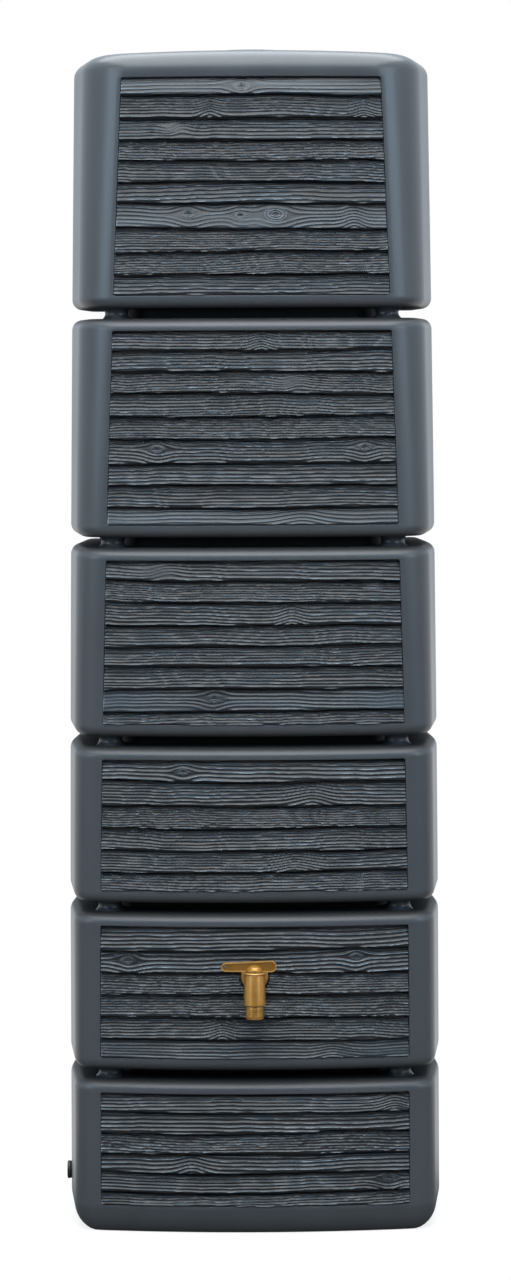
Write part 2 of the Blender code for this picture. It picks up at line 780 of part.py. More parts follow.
def build_nozzle(axis, bronze, rubber):
    """Hose nozzle screwed into the foot of the tap body, and its flat seal."""
    top = -BARREL_DOWN - CLEARANCE
    seal_top = -BARREL_DOWN + SOCKET_DEPTH - CLEARANCE
    seal_low = seal_top - 0.002
    spigot = SOCKET_RADIUS - CLEARANCE
    seal = revolve("tap_nozzle_seal", ring_profile(spigot, OUTLET_RADIUS + CLEARANCE, seal_low, seal_top))
    seal.location = axis
    finish(seal, rubber, 0.8)
    ridge = NOZZLE_LENGTH / 6.0
    profile = [(spigot, seal_low - CLEARANCE), (spigot, top), (NOZZLE_RADIUS, top)]
    for i in range(3):
        level = top - 0.35 * NOZZLE_LENGTH - i * ridge
        profile.append((NOZZLE_RADIUS, level))
        profile.append((NOZZLE_RADIUS - 0.0005, level - ridge / 2.0))
    profile.append((NOZZLE_RADIUS, top - NOZZLE_LENGTH + 0.0008))
    profile.append((NOZZLE_RADIUS - 0.0008, top - NOZZLE_LENGTH))
    profile.append((OUTLET_RADIUS + CLEARANCE, top - NOZZLE_LENGTH))
    profile.append((OUTLET_RADIUS + CLEARANCE, seal_low - CLEARANCE))
    nozzle = revolve("tap_nozzle", profile)
    nozzle.location = axis
    return finish(nozzle, bronze, 0.4, 0.6)


def build_drain():
    """Threaded insert, seal and screw plug low on the left side."""
    seat = side_levels(DRAIN_Z, DRAIN_FLANGE_RADIUS)[1]
    side = -seat
    turn = (0.0, -math.pi / 2.0, 0.0)
    bore = DRAIN_BORE_RADIUS
    flange = side_levels(DRAIN_Z, DRAIN_FLANGE_RADIUS, WALL)[0] - CLEARANCE - seat
    insert = revolve(
        "drain_insert",
        (
            (DRAIN_HOLE_RADIUS, 0.0),
            (DRAIN_HOLE_RADIUS, flange),
            (DRAIN_FLANGE_RADIUS, flange),
            (DRAIN_FLANGE_RADIUS, flange - DRAIN_FLANGE_THICKNESS),
            (DRAIN_HOLE_RADIUS, flange - DRAIN_FLANGE_THICKNESS),
            (DRAIN_HOLE_RADIUS, -DRAIN_INSERT_LENGTH),
            (bore + CLEARANCE, -DRAIN_INSERT_LENGTH),
            (bore + CLEARANCE, 0.0),
        ),
    )
    insert.rotation_euler = turn
    insert.location = (side, 0.0, DRAIN_Z)
    finish(insert, (0.030, 0.032, 0.034), 0.5)

    seal = revolve(
        "drain_plug_seal",
        ring_profile(DRAIN_HEAD_RADIUS - 0.0005, bore + CLEARANCE, CLEARANCE, CLEARANCE + DRAIN_SEAL_THICKNESS),
    )
    seal.rotation_euler = turn
    seal.location = (side, 0.0, DRAIN_Z)
    finish(seal, (0.010, 0.010, 0.010), 0.85)

    under = 2.0 * CLEARANCE + DRAIN_SEAL_THICKNESS
    top = under + DRAIN_HEAD_THICKNESS
    stem_end = -DRAIN_INSERT_LENGTH + 0.002
    plug = revolve(
        "drain_plug",
        (
            (0.0, top),
            (0.9 * DRAIN_HEAD_RADIUS, top),
            (DRAIN_HEAD_RADIUS, top - 0.0012),
            (DRAIN_HEAD_RADIUS, under),
            (bore, under),
            (bore, stem_end),
            (0.75 * bore, stem_end),
            (0.75 * bore, under),
            (0.0, under),
        ),
        closed=False,
    )
    plug.rotation_euler = turn
    plug.location = (side, 0.0, DRAIN_Z)
    bm = bmesh.new()
    bmesh.ops.create_cube(bm, size=1.0)
    bmesh.ops.scale(bm, verts=bm.verts, vec=(0.0024, 1.3 * DRAIN_HEAD_RADIUS, DRAIN_HEAD_THICKNESS))
    slot = from_bmesh("drain_plug_slot", bm, True)
    slot.rotation_euler = turn
    slot.location = (side - top, 0.0, DRAIN_Z)
    boolean(plug, slot, "DIFFERENCE")
    return finish(plug, (0.014, 0.014, 0.015), 0.55)


build_tank()
for tier_index in range(TIERS):
    build_panel(tier_index)
build_lid()
build_tap()
build_drain()
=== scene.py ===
"""Dressed model of a slim six-tier rain barrel with its panels, lid, lever tap and drain plug."""
import logging
import math
from dataclasses import dataclass
from enum import Enum
from typing import Any, Iterable, Sequence

import bmesh
import bpy
import numpy as np
from mathutils import Matrix, Vector


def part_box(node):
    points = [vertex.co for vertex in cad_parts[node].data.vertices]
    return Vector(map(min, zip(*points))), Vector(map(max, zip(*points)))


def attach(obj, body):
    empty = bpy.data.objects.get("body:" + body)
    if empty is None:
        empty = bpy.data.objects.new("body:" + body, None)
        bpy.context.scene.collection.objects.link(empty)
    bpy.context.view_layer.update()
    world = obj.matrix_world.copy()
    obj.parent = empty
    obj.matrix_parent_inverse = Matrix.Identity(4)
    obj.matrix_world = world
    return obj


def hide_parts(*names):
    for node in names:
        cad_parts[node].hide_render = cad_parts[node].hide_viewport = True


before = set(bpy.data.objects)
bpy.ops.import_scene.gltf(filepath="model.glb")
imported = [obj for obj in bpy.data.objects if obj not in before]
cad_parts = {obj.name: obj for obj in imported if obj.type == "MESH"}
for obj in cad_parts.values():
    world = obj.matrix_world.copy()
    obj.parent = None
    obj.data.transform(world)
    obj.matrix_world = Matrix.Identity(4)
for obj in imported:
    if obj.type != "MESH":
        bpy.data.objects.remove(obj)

LOG = logging.getLogger("rain_barrel")
MM = 0.001
Triple = tuple[float, float, float]
Pair = tuple[float, float]
Colour = Triple
Profile = Sequence[Pair]
Array = np.ndarray
Vert = bmesh.types.BMVert
# Rounded lip of a panel pocket: millimetres outside its edge and below the face.
LIP = ((0.08, 0.7), (0.32, 0.2), (0.8, 0.0))
# The tap goes through the panel of this tier, in a seat this much wider than its gasket.
TAP_TIER = 5
SEAT_GAP = 0.6 * MM


class Body(Enum):
    """Bodies of the part that pieces ride on."""

    TANK = "tank"
    VALVE = "tap_valve"
    LID = "lid_body"
    STOPPER = "drain_stopper"


class Slot(Enum):
    """Material slots of the part's record."""

    TANK = "tank_plastic"
    PLANK = "plank_plastic"
    LID = "lid_plastic"
    BLACK = "black_plastic"
    BRONZE = "tap_bronze"
    STEEL = "screw_steel"
    RUBBER = "rubber"


def operator(name: str, swapped: bool = False) -> Any:
    """Method of Link that adds a Math node, swapped for a number on the left."""

    def act(self: "Link", other: Any) -> "Link":
        """Value of the operation with a link or number."""
        first, second = (other, self) if swapped else (self, other)
        return self.graph.node("ShaderNodeMath", {"operation": name}, {0: first, 1: second})

    return act


class Link:
    """A value in a material's node tree that takes part in arithmetic."""

    __add__ = operator("ADD")
    __radd__ = operator("ADD", swapped=True)
    __sub__ = operator("SUBTRACT")
    __rsub__ = operator("SUBTRACT", swapped=True)
    __mul__ = operator("MULTIPLY")

    def __init__(self, graph: "Graph", socket: bpy.types.NodeSocket | None) -> None:
        """Keep the tree and the socket that gives the value, none for an end node."""
        self.graph = graph
        self.socket = socket

    def clamp(self) -> "Link":
        """Value held between 0 and 1."""
        return self.graph.node("ShaderNodeClamp", {}, {"Value": self})

    def band(self, low: float, high: float) -> "Link":
        """Smooth step of the value from 0 at low to 1 at high."""
        settings = {"interpolation_type": "SMOOTHSTEP"}
        inputs = {"Value": self, "From Min": low, "From Max": high}
        return self.graph.node("ShaderNodeMapRange", settings, inputs)


class Graph:
    """Node tree of a material or of the world while it is put together."""

    def __init__(self, tree: bpy.types.NodeTree) -> None:
        """Start from an empty tree."""
        self.tree = tree
        tree.nodes.clear()

    def node(
        self, kind: str, settings: dict | None = None, inputs: dict | None = None, output: Any = 0
    ) -> Link:
        """Add any node.

        Args:
            kind: Type name of the node.
            settings: Attributes, set first.
            inputs: Socket name or number to a link, number or tuple.
            output: Name or number of the output that is returned.

        Returns:
            The chosen output.
        """
        made = self.tree.nodes.new(kind)
        for key, value in (settings or {}).items():
            setattr(made, key, value)
        for key, value in (inputs or {}).items():
            if isinstance(value, Link):
                self.tree.links.new(value.socket, made.inputs[key])
            else:
                made.inputs[key].default_value = value
        return Link(self, made.outputs[output] if made.outputs else None)

    def mix(self, factor: Any, first: Any, second: Any) -> Link:
        """Blend two colours, each a link or an RGB tuple."""
        pair = [(*c, 1.0) if isinstance(c, tuple) else c for c in (first, second)]
        inputs = {0: factor, 6: pair[0], 7: pair[1]}
        return self.node("ShaderNodeMix", {"data_type": "RGBA"}, inputs, 2)

    def place(self, scale: Triple = (1.0, 1.0, 1.0)) -> Link:
        """Object coordinates in metres, stretched per axis."""
        here = self.node("ShaderNodeTexCoord", output="Object")
        return self.node("ShaderNodeMapping", {}, {"Vector": here, "Scale": scale})

    def stored(self, name: str) -> Link:
        """Value that the mesh keeps under a name."""
        return self.node("ShaderNodeAttribute", {"attribute_name": name}, {}, "Fac")

    def ray(self, kind: str) -> Link:
        """Whether the ray is of a kind, such as Camera."""
        return self.node("ShaderNodeLightPath", output="Is %s Ray" % kind)

    def along(self, axis: str, vector: Link) -> Link:
        """One axis of a vector."""
        return self.node("ShaderNodeSeparateXYZ", {}, {0: vector}, axis)

    def noise(self, where: Link, scale: float, detail: float, roughness: float = 0.55) -> Link:
        """Fractal noise from 0 to 1 at a place."""
        inputs = {"Vector": where, "Scale": scale, "Detail": detail, "Roughness": roughness}
        return self.node("ShaderNodeTexNoise", {}, inputs)

    def bump(
        self, height: Link, distance: float, strength: float, normal: Link | None = None
    ) -> Link:
        """Normal tilted by a height given in metres at full scale."""
        inputs: dict = {"Height": height, "Distance": distance, "Strength": strength}
        if normal is not None:
            inputs["Normal"] = normal
        return self.node("ShaderNodeBump", {}, inputs)


@dataclass(frozen=True)
class Finish:
    """Common part of every finish.

    Attributes:
        name: Name of the material.
        slot: Slot of the record that it stands for.
        colour: Base colour, linear.
        roughness: Base roughness.
    """

    name: str
    slot: Slot
    colour: Colour
    roughness: float

    def shade(self, graph: Graph) -> dict:
        """Sockets of the Principled shader and what feeds them."""
        raise NotImplementedError

    def material(self) -> bpy.types.Material:
        """Build the material.

        Returns:
            A material with one Principled shader.
        """
        made = bpy.data.materials.new(self.name)
        made.use_nodes = True
        graph = Graph(made.node_tree)
        shader = graph.node("ShaderNodeBsdfPrincipled", {}, self.shade(graph))
        graph.node("ShaderNodeOutputMaterial", {}, {"Surface": shader})
        made.diffuse_color = (*self.colour, 1.0)
        return made

    def tone(self, gain: float) -> Colour:
        """Base colour made lighter or darker."""
        return tuple(min(1.0, channel * gain) for channel in self.colour)


@dataclass(frozen=True)
class MouldedPlastic(Finish):
    """Satin blow-moulded polyethylene with a fine mould texture, faint flow, a few scuffs and
    painted shade.
    """

    pebble: float = 0.05 * MM
    scuff: float = 0.35

    def shade(self, graph: Graph) -> dict:
        """Mottled colour and roughness, mould texture, scuffs and the painted shade stored on the
        mesh.
        """
        cloud = graph.noise(graph.place(), 5.0, 4.0)
        flow = graph.noise(graph.place((1.0, 1.0, 0.12)), 34.0, 3.0)
        grit = graph.noise(graph.place(), 1500.0, 2.0, 0.6)
        wear = graph.noise(graph.place((9.0, 9.0, 1.0)), 14.0, 5.0, 0.65).band(0.66, 0.78)
        # Stored level of painted shade: full in the necks, partial on the tier edges beside the
        # grooves and at the foot.
        painted_shade = graph.stored("painted_shade")
        tone = (cloud * 0.6 + flow * 0.4).band(0.25, 0.75)
        colour = graph.mix(tone, self.tone(0.90), self.tone(1.10))
        colour = graph.mix(wear * self.scuff, colour, self.tone(1.9))
        # Painted shade: the stored level darkens the colour nearly to black and makes it rougher.
        colour = graph.mix(painted_shade, colour, self.tone(0.06))
        rough = self.roughness - 0.05 + cloud * 0.10 + wear * 0.10 + painted_shade * 0.35
        ripple = graph.bump(flow, 0.25 * MM, 0.35)
        return {
            "Base Color": colour,
            "Roughness": rough,
            "Specular IOR Level": 0.5,
            "Normal": graph.bump(grit, self.pebble, 0.5, ripple),
        }


@dataclass(frozen=True)
class PlankPlastic(Finish):
    """Polyethylene with a moulded wood relief, coloured by grain tone, painted shade and painted
    highlights.
    """

    # Dark end: painted shade in the hollows of the grain and under the laps. Light end: lighter
    # grain with painted highlights on the ridges.
    groove: Colour = (0.006, 0.007, 0.009)
    ridge: Colour = (0.164, 0.226, 0.282)

    def shade(self, graph: Graph) -> dict:
        """Colour from the relief value stored on the mesh, which holds grain tone, painted shade
        and painted highlights, with fine fibre on top.
        """
        relief = graph.stored("relief")
        fibre = graph.noise(graph.place((0.05, 1.0, 1.0)), 900.0, 3.0, 0.6)
        cloud = graph.noise(graph.place((0.4, 1.0, 1.0)), 16.0, 3.0)
        speck = graph.noise(graph.place(), 420.0, 2.0, 0.5)
        level = (relief + (fibre - 0.5) * 0.16 + (cloud - 0.5) * 0.18).clamp()
        low = graph.mix(level.band(0.0, 0.55), self.groove, self.colour)
        colour = graph.mix(level.band(0.50, 1.0), low, self.ridge)
        rough = self.roughness - 0.06 + speck * 0.14
        height = fibre * 0.6 + speck * 0.4
        return {
            "Base Color": colour,
            "Roughness": rough,
            "Specular IOR Level": 0.45,
            "Normal": graph.bump(height, 0.22 * MM, 0.7),
        }


@dataclass(frozen=True)
class AgedBronze(Finish):
    """Satin bronze with faint tarnish clouds, painted shade in the lever's sunk web and painted
    highlights on its rims and the bead.
    """

    # Colour of the faint tarnish clouds and of the painted shade in the lever's sunk web.
    patina_and_shade: Colour = (0.200, 0.090, 0.012)
    # Colour of the painted highlights on the lever's rims and the barrel's bead.
    bright: Colour = (0.620, 0.370, 0.115)

    def shade(self, graph: Graph) -> dict:
        """Faint clouds and brushed grain, with the painted shade and painted highlights stored on
        the mesh.
        """
        # Stored value: below 0 painted shade, above 0 painted highlight.
        worn = graph.stored("worn")
        cloud = graph.noise(graph.place(), 70.0, 4.0)
        spot = graph.noise(graph.place(), 900.0, 3.0, 0.6)
        brushed = graph.noise(graph.place((1.0, 1.0, 14.0)), 260.0, 2.0)
        colour = graph.mix(cloud.band(0.30, 0.75) * 0.35, self.colour, self.patina_and_shade)
        # Painted shade in the lever's sunk web.
        colour = graph.mix((0 - worn).clamp() * 0.8, colour, self.patina_and_shade)
        # Painted highlight on the lever's rims and the barrel's bead.
        colour = graph.mix(worn.clamp() * (0.6 + spot * 0.4), colour, self.bright)
        rough = self.roughness - 0.04 + spot * 0.10
        return {
            "Base Color": colour,
            "Metallic": 0.45,
            "Roughness": rough,
            "Normal": graph.bump(brushed * 0.5 + spot * 0.5, 0.03 * MM, 0.4),
        }


@dataclass(frozen=True)
class SealRubber(Finish):
    """Matt black sealing rubber with a dusty bloom."""

    def shade(self, graph: Graph) -> dict:
        """Dusty bloom and a fine grain."""
        dust = graph.noise(graph.place(), 160.0, 4.0)
        grain = graph.noise(graph.place(), 2600.0, 2.0)
        colour = graph.mix(dust.band(0.45, 0.85), self.colour, self.tone(2.6))
        return {
            "Base Color": colour,
            "Roughness": self.roughness - 0.05 + dust * 0.1,
            "Normal": graph.bump(grain, 0.03 * MM, 0.5),
        }


@dataclass(frozen=True)
class PlainSteel(Finish):
    """Bright zinc-plated steel."""

    def shade(self, graph: Graph) -> dict:
        """Turned rings and spotted plating."""
        spot = graph.noise(graph.place(), 700.0, 3.0)
        return {
            "Base Color": graph.mix(spot, self.tone(0.8), self.tone(1.15)),
            "Metallic": 1.0,
            "Roughness": self.roughness - 0.05 + spot * 0.15,
            "Normal": graph.bump(spot, 0.02 * MM, 0.4),
        }


class Finishes:
    """All finishes of the barrel, each built once."""

    def __init__(self) -> None:
        """Build every material."""
        self.tank = MouldedPlastic("tank_satin", Slot.TANK, (0.054, 0.061, 0.070), 0.33)
        self.lid = MouldedPlastic("lid_satin", Slot.LID, (0.060, 0.067, 0.076), 0.55)
        self.black = MouldedPlastic(
            "black_fitting", Slot.BLACK, (0.018, 0.019, 0.020), 0.50, pebble=0.04 * MM, scuff=0.2
        )
        self.plank = PlankPlastic("plank_relief", Slot.PLANK, (0.013, 0.018, 0.023), 0.34)
        self.bronze = AgedBronze("tap_bronze_satin", Slot.BRONZE, (0.385, 0.186, 0.034), 0.34)
        self.rubber = SealRubber("seal_rubber", Slot.RUBBER, (0.011, 0.011, 0.011), 0.80)
        self.steel = PlainSteel("stem_steel", Slot.STEEL, (0.450, 0.450, 0.440), 0.32)
        self.built = {finish.name: finish.material() for finish in vars(self).values()}

    def of(self, finish: Finish) -> bpy.types.Material:
        """Material of a finish."""
        return self.built[finish.name]


def put(name: str, data: bpy.types.ID) -> bpy.types.Object:
    """Add an object with its data to the scene."""
    made = bpy.data.objects.new(name, data)
    bpy.context.scene.collection.objects.link(made)
    return made


def baked(name: str, bm: bmesh.types.BMesh) -> bpy.types.Mesh:
    """Turn an edited mesh into a plain one and free it."""
    mesh = bpy.data.meshes.new(name)
    bm.to_mesh(mesh)
    bm.free()
    return mesh


def only(kind: type, items: Iterable) -> list:
    """Items of one kind, in their order."""
    return [item for item in items if isinstance(item, kind)]


def shifted(radius: float, level: float, table: Profile) -> list[Pair]:
    """Points from a table of millimetres outward from a radius and upward from a level."""
    return [(radius + out * MM, level + up * MM) for out, up in table]


class Mesher:
    """Puts together one piece as an edited mesh."""

    weld = 1e-6
    shortest = 1e-7

    def __init__(self) -> None:
        """Start with nothing."""
        self.bm = bmesh.new()

    def since(self, before: set[Vert]) -> list[Vert]:
        """Vertices that were not there before."""
        return [v for v in self.bm.verts if v not in before]

    def face_out(self, verts: Iterable[Vert]) -> None:
        """Turn the faces at the vertices outward."""
        faces = list({face for v in verts for face in v.link_faces})
        bmesh.ops.recalc_face_normals(self.bm, faces=faces)

    def spin(self, profile: Profile, steps: int, closed: bool = True) -> list[Vert]:
        """Turn a profile of (radius, height) points about Z.

        Args:
            profile: Points of the section.
            steps: Segments of the full turn.
            closed: Whether the section is a loop that stays clear of the axis.

        Returns:
            The new vertices.
        """
        before = set(self.bm.verts)
        row = [self.bm.verts.new((radius, 0.0, height)) for radius, height in profile]
        edges = [self.bm.edges.new(pair) for pair in zip(row, row[1:])]
        if closed:
            edges.append(self.bm.edges.new((row[-1], row[0])))
        turn = {"cent": (0, 0, 0), "axis": (0, 0, 1), "angle": math.tau, "steps": steps}
        bmesh.ops.spin(self.bm, geom=row + edges, use_merge=True, **turn)
        bmesh.ops.remove_doubles(self.bm, verts=self.since(before), dist=self.weld)
        faces = {face for v in self.since(before) for face in v.link_faces}
        edges = list({edge for face in faces for edge in face.edges})
        bmesh.ops.dissolve_degenerate(self.bm, dist=self.shortest, edges=edges)
        made = self.since(before)
        self.face_out(made)
        return made

    def box(self, size: Triple, radius: float, segments: int) -> list[Vert]:
        """Add a block with rounded edges, about the origin."""
        before = set(self.bm.verts)
        cube = bmesh.ops.create_cube(self.bm, size=1.0)["verts"]
        bmesh.ops.scale(self.bm, verts=cube, vec=size)
        edges = list({edge for v in cube for edge in v.link_edges})
        rounding = {"affect": "EDGES", "segments": segments, "profile": 0.5, "material": -1}
        bmesh.ops.bevel(self.bm, geom=edges, offset=radius, **rounding)
        return self.since(before)

    def plate(self, loops: Sequence[Profile], low: float, high: float) -> list[Vert]:
        """Fill the area between loops in X and Z and give it a thickness in Y.

        Args:
            loops: Outline first, then holes, as (x, z) points.
            low: Front level in Y.
            high: Back level in Y.

        Returns:
            The new vertices.
        """
        before = set(self.bm.verts)
        edges = []
        for loop in loops:
            row = [self.bm.verts.new((x, low, z)) for x, z in loop]
            edges += [self.bm.edges.new((row[i - 1], row[i])) for i in range(len(row))]
        made = bmesh.ops.triangle_fill(
            self.bm, edges=edges, use_beauty=True, use_dissolve=False
        )
        faces = only(bmesh.types.BMFace, made["geom"])
        grown = bmesh.ops.extrude_face_region(self.bm, geom=faces)["geom"]
        bmesh.ops.translate(self.bm, verts=only(Vert, grown), vec=(0.0, high - low, 0.0))
        added = self.since(before)
        self.face_out(added)
        return added

    def move(self, verts: Iterable[Vert], matrix: Matrix) -> None:
        """Carry vertices by a matrix."""
        bmesh.ops.transform(self.bm, matrix=matrix, verts=list(verts))

    def piece(
        self, name: str, finishes: Finishes, finish: Finish, body: Body, node: str,
        sharp: float = 38.0,
    ) -> bpy.types.Object:
        """Turn the mesh into a finished piece of the part.

        Args:
            name: Name of the piece.
            finishes: All materials.
            finish: Finish of the piece.
            body: Body that it rides on.
            node: CAD node that it stands for.
            sharp: Edges that turn by more than this many degrees stay sharp.

        Returns:
            The new object.
        """
        mesh = baked(name, self.bm)
        mesh.shade_smooth()
        mesh.set_sharp_from_angle(angle=math.radians(sharp))
        mesh.materials.append(finishes.of(finish))
        made = put(name, mesh)
        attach(made, body.value)
        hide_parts(node)
        LOG.info("%s: %d faces on %s", name, len(mesh.polygons), body.value)
        return made


def bend(start: Array, corner: Array, end: Array, steps: int) -> Array:
    """Rows of X and Y along a curve that rounds a corner in a number of steps."""
    t = np.linspace(0.0, 1.0, steps + 1)[:, None]
    return (1 - t) ** 2 * start + 2 * t * (1 - t) * corner + t**2 * end


def towards(start: Array, end: Array, distance: float) -> Array:
    """Point at a distance from start on the way to end."""
    way = end - start
    return start + way * (distance / np.linalg.norm(way))


@dataclass(frozen=True)
class TankForm:
    """Driving sizes of the moulded tank, as the part's solids have them."""

    top: float
    half_depth: float
    groove_centres: tuple[float, ...] = (0.242, 0.500, 0.757, 1.065, 1.420)
    groove_height: float = 16 * MM
    front_width: float = 278.0 * MM
    front_taper: float = 18.5 * MM
    parting_width: float = 293.2 * MM
    parting_taper: float = 8.2 * MM
    parting_bend: float = 20 * MM
    panel_width: float = 238.0 * MM
    panel_taper: float = 38.0 * MM
    rear_draft: float = 12 * MM
    bow_depth: float = 14 * MM
    bow_at: float = 200 * MM
    front_corner: float = 30 * MM
    corner_growth: float = 26 * MM
    rear_corner: float = 28 * MM
    tier_edge: float = 16 * MM
    base_edge: float = 35 * MM
    base_front_share: float = 0.3
    crown_edge: float = 30 * MM
    crown_fall: float = 3.5 * MM
    neck_from_edge: float = 69 * MM
    neck_depth: float = 110 * MM
    neck_corner: float = 50 * MM
    post_radius: float = 18 * MM
    post_from_edge: float = 53 * MM
    post_offset: float = 126 * MM
    pocket_depth: float = 7.3 * MM
    pocket_gap: float = 0.8 * MM
    pocket_corner: float = 2.6 * MM
    mouth_radius: float = 75 * MM
    seat_radius: float = 96 * MM
    taper_power: float = 1.6
    least_corner: float = 6 * MM

    @property
    def tiers(self) -> int:
        """Number of tiers."""
        return len(self.groove_centres) + 1

    def taper(self, z: float, start: float = 0.45, run: float = 1.145) -> float:
        """Share of the taper reached at a height."""
        return (max(0.0, z - start) / run) ** self.taper_power

    def front_half(self, z: float) -> float:
        """Half width at the front corners."""
        return self.front_width - self.front_taper * self.taper(z)

    def parting_half(self, z: float) -> float:
        """Half width at the widest part."""
        return self.parting_width - self.parting_taper * self.taper(z)

    def panel_half(self, z: float) -> float:
        """Half width of the plank panels."""
        return self.panel_width - self.panel_taper * self.taper(z, start=0.36, run=1.424)

    def bow(self, x: Any) -> Any:
        """How far the front falls back at a distance from the middle."""
        return self.bow_depth * (x / self.bow_at) ** 2

    def tier_span(self, tier: int) -> Pair:
        """Lowest and highest level of a tier, counted from the ground."""
        half = self.groove_height / 2
        low = 0.0 if tier == 0 else self.groove_centres[tier - 1] + half
        high = self.top if tier == self.tiers - 1 else self.groove_centres[tier] - half
        return low, high

    def outline(self, corners: Triple, reach: Pair, radii: Pair, bowed: bool = True) -> Array:
        """Dense right half of a plan outline, from the front's middle to the back's.

        Args:
            corners: Half widths at the front corner, the parting plane and the rear corner.
            reach: Distances of the front and the back from the parting plane.
            radii: Roundings of the front and the rear corner.
            bowed: Whether the front is bowed.

        Returns:
            Rows of X and Y.
        """
        def face(x: Any) -> Any:
            """Place of the front."""
            return -reach[0] + (self.bow(x) if bowed else 0.0 * x)

        front, middle, rear = corners
        straight = front - radii[0]
        columns = np.linspace(0.0, straight, 60, endpoint=False)
        corner = np.array((front, face(front)))
        widest = np.array((middle, 0.0))
        back = np.array((rear, reach[1]))
        front_start = np.array((straight, face(straight)))
        rear_end = np.array((rear - radii[1], reach[1]))
        soft = self.parting_bend
        return np.vstack((
            np.column_stack((columns, face(columns))),
            bend(front_start, corner, towards(corner, widest, radii[0]), steps=48),
            bend(towards(widest, corner, soft), widest, towards(widest, back, soft), steps=24),
            bend(towards(back, widest, radii[1]), back, rear_end, steps=32),
            np.array(((0.0, reach[1]),)),
        ))

    def tier_outline(self, z: float, inset: float, front_share: float = 1.0) -> Array:
        """Dense half outline of a tier at a height, drawn in by an inset.

        Args:
            z: Height.
            inset: How far it is drawn in.
            front_share: Share of the inset that the front takes.

        Returns:
            Rows of X and Y.
        """
        middle = self.parting_half(z) - inset
        radii = (self.front_corner + self.corner_growth * self.taper(z), self.rear_corner)
        return self.outline(
            (self.front_half(z) - inset, middle, middle - self.rear_draft),
            (self.half_depth - inset * front_share, self.half_depth - inset),
            tuple(max(radius - inset, self.least_corner) for radius in radii),
        )

    def neck_outline(self, z: float) -> Array:
        """Dense half outline of the neck across the groove at a height."""
        half = self.front_half(z) - self.neck_from_edge
        return self.outline((half,) * 3, (self.neck_depth,) * 2, (self.neck_corner,) * 2, False)


@dataclass
class Ring:
    """One level of the tank's skin.

    Attributes:
        z: Height in the middle.
        outline: Dense right half of the plan outline.
        pocket: Half width of the part that is sunk for a panel.
        sink: How deep that part is sunk.
        fall: How fast the level falls to the sides, per square metre.
        painted_shade: Painted shade on this level, from 0 to 1: full in the necks, partial on the
            tier edges beside the grooves and at the foot.
    """

    z: float
    outline: Array
    pocket: float
    sink: float = 0.0
    fall: float = 0.0
    painted_shade: float = 0.0
    field_points = 15
    rest_points = 62
    even_step = 20 * MM
    even_turn = 0.075

    def points(self) -> Array:
        """Sample the outline so that every ring has the same points.

        Returns:
            Rows of X, Y and Z, anticlockwise from the middle of the front.
        """
        line = self.outline
        step = np.linalg.norm(np.diff(line, axis=0), axis=1)
        run = np.concatenate(((0.0,), np.cumsum(step)))
        way = np.arctan2(np.diff(line[:, 1]), np.diff(line[:, 0]))
        turn = np.abs(np.diff(way, prepend=way[0]))
        turn = np.minimum(turn, math.tau - turn)
        weight = np.cumsum(step / self.even_step + turn / self.even_turn)
        weight = np.concatenate(((0.0,), weight))

        def at(s: Any) -> Array:
            """Points at distances along the outline."""
            return np.column_stack([np.interp(s, run, line[:, axis]) for axis in (0, 1)])

        front = int(np.argmax(line[:, 0]))
        edge = float(np.interp(self.pocket, line[:front, 0], run[:front]))
        inner = at(np.linspace(0.0, edge, self.field_points))
        inner[:, 1] += self.sink
        out, down = np.array(LIP).T * MM
        lips = at(edge + out)
        lips[:, 1] += np.minimum(self.sink, down)
        start = float(np.interp(edge + out[-1], run, weight))
        levels = np.linspace(start, weight[-1], self.rest_points + 1)[1:]
        outer = at(np.interp(levels, weight, run))
        half = np.vstack((inner, lips, outer))
        loop = np.vstack((half, half[1:-1][::-1] * (-1.0, 1.0)))
        return np.column_stack((loop, self.z - self.fall * loop[:, 0] ** 2))


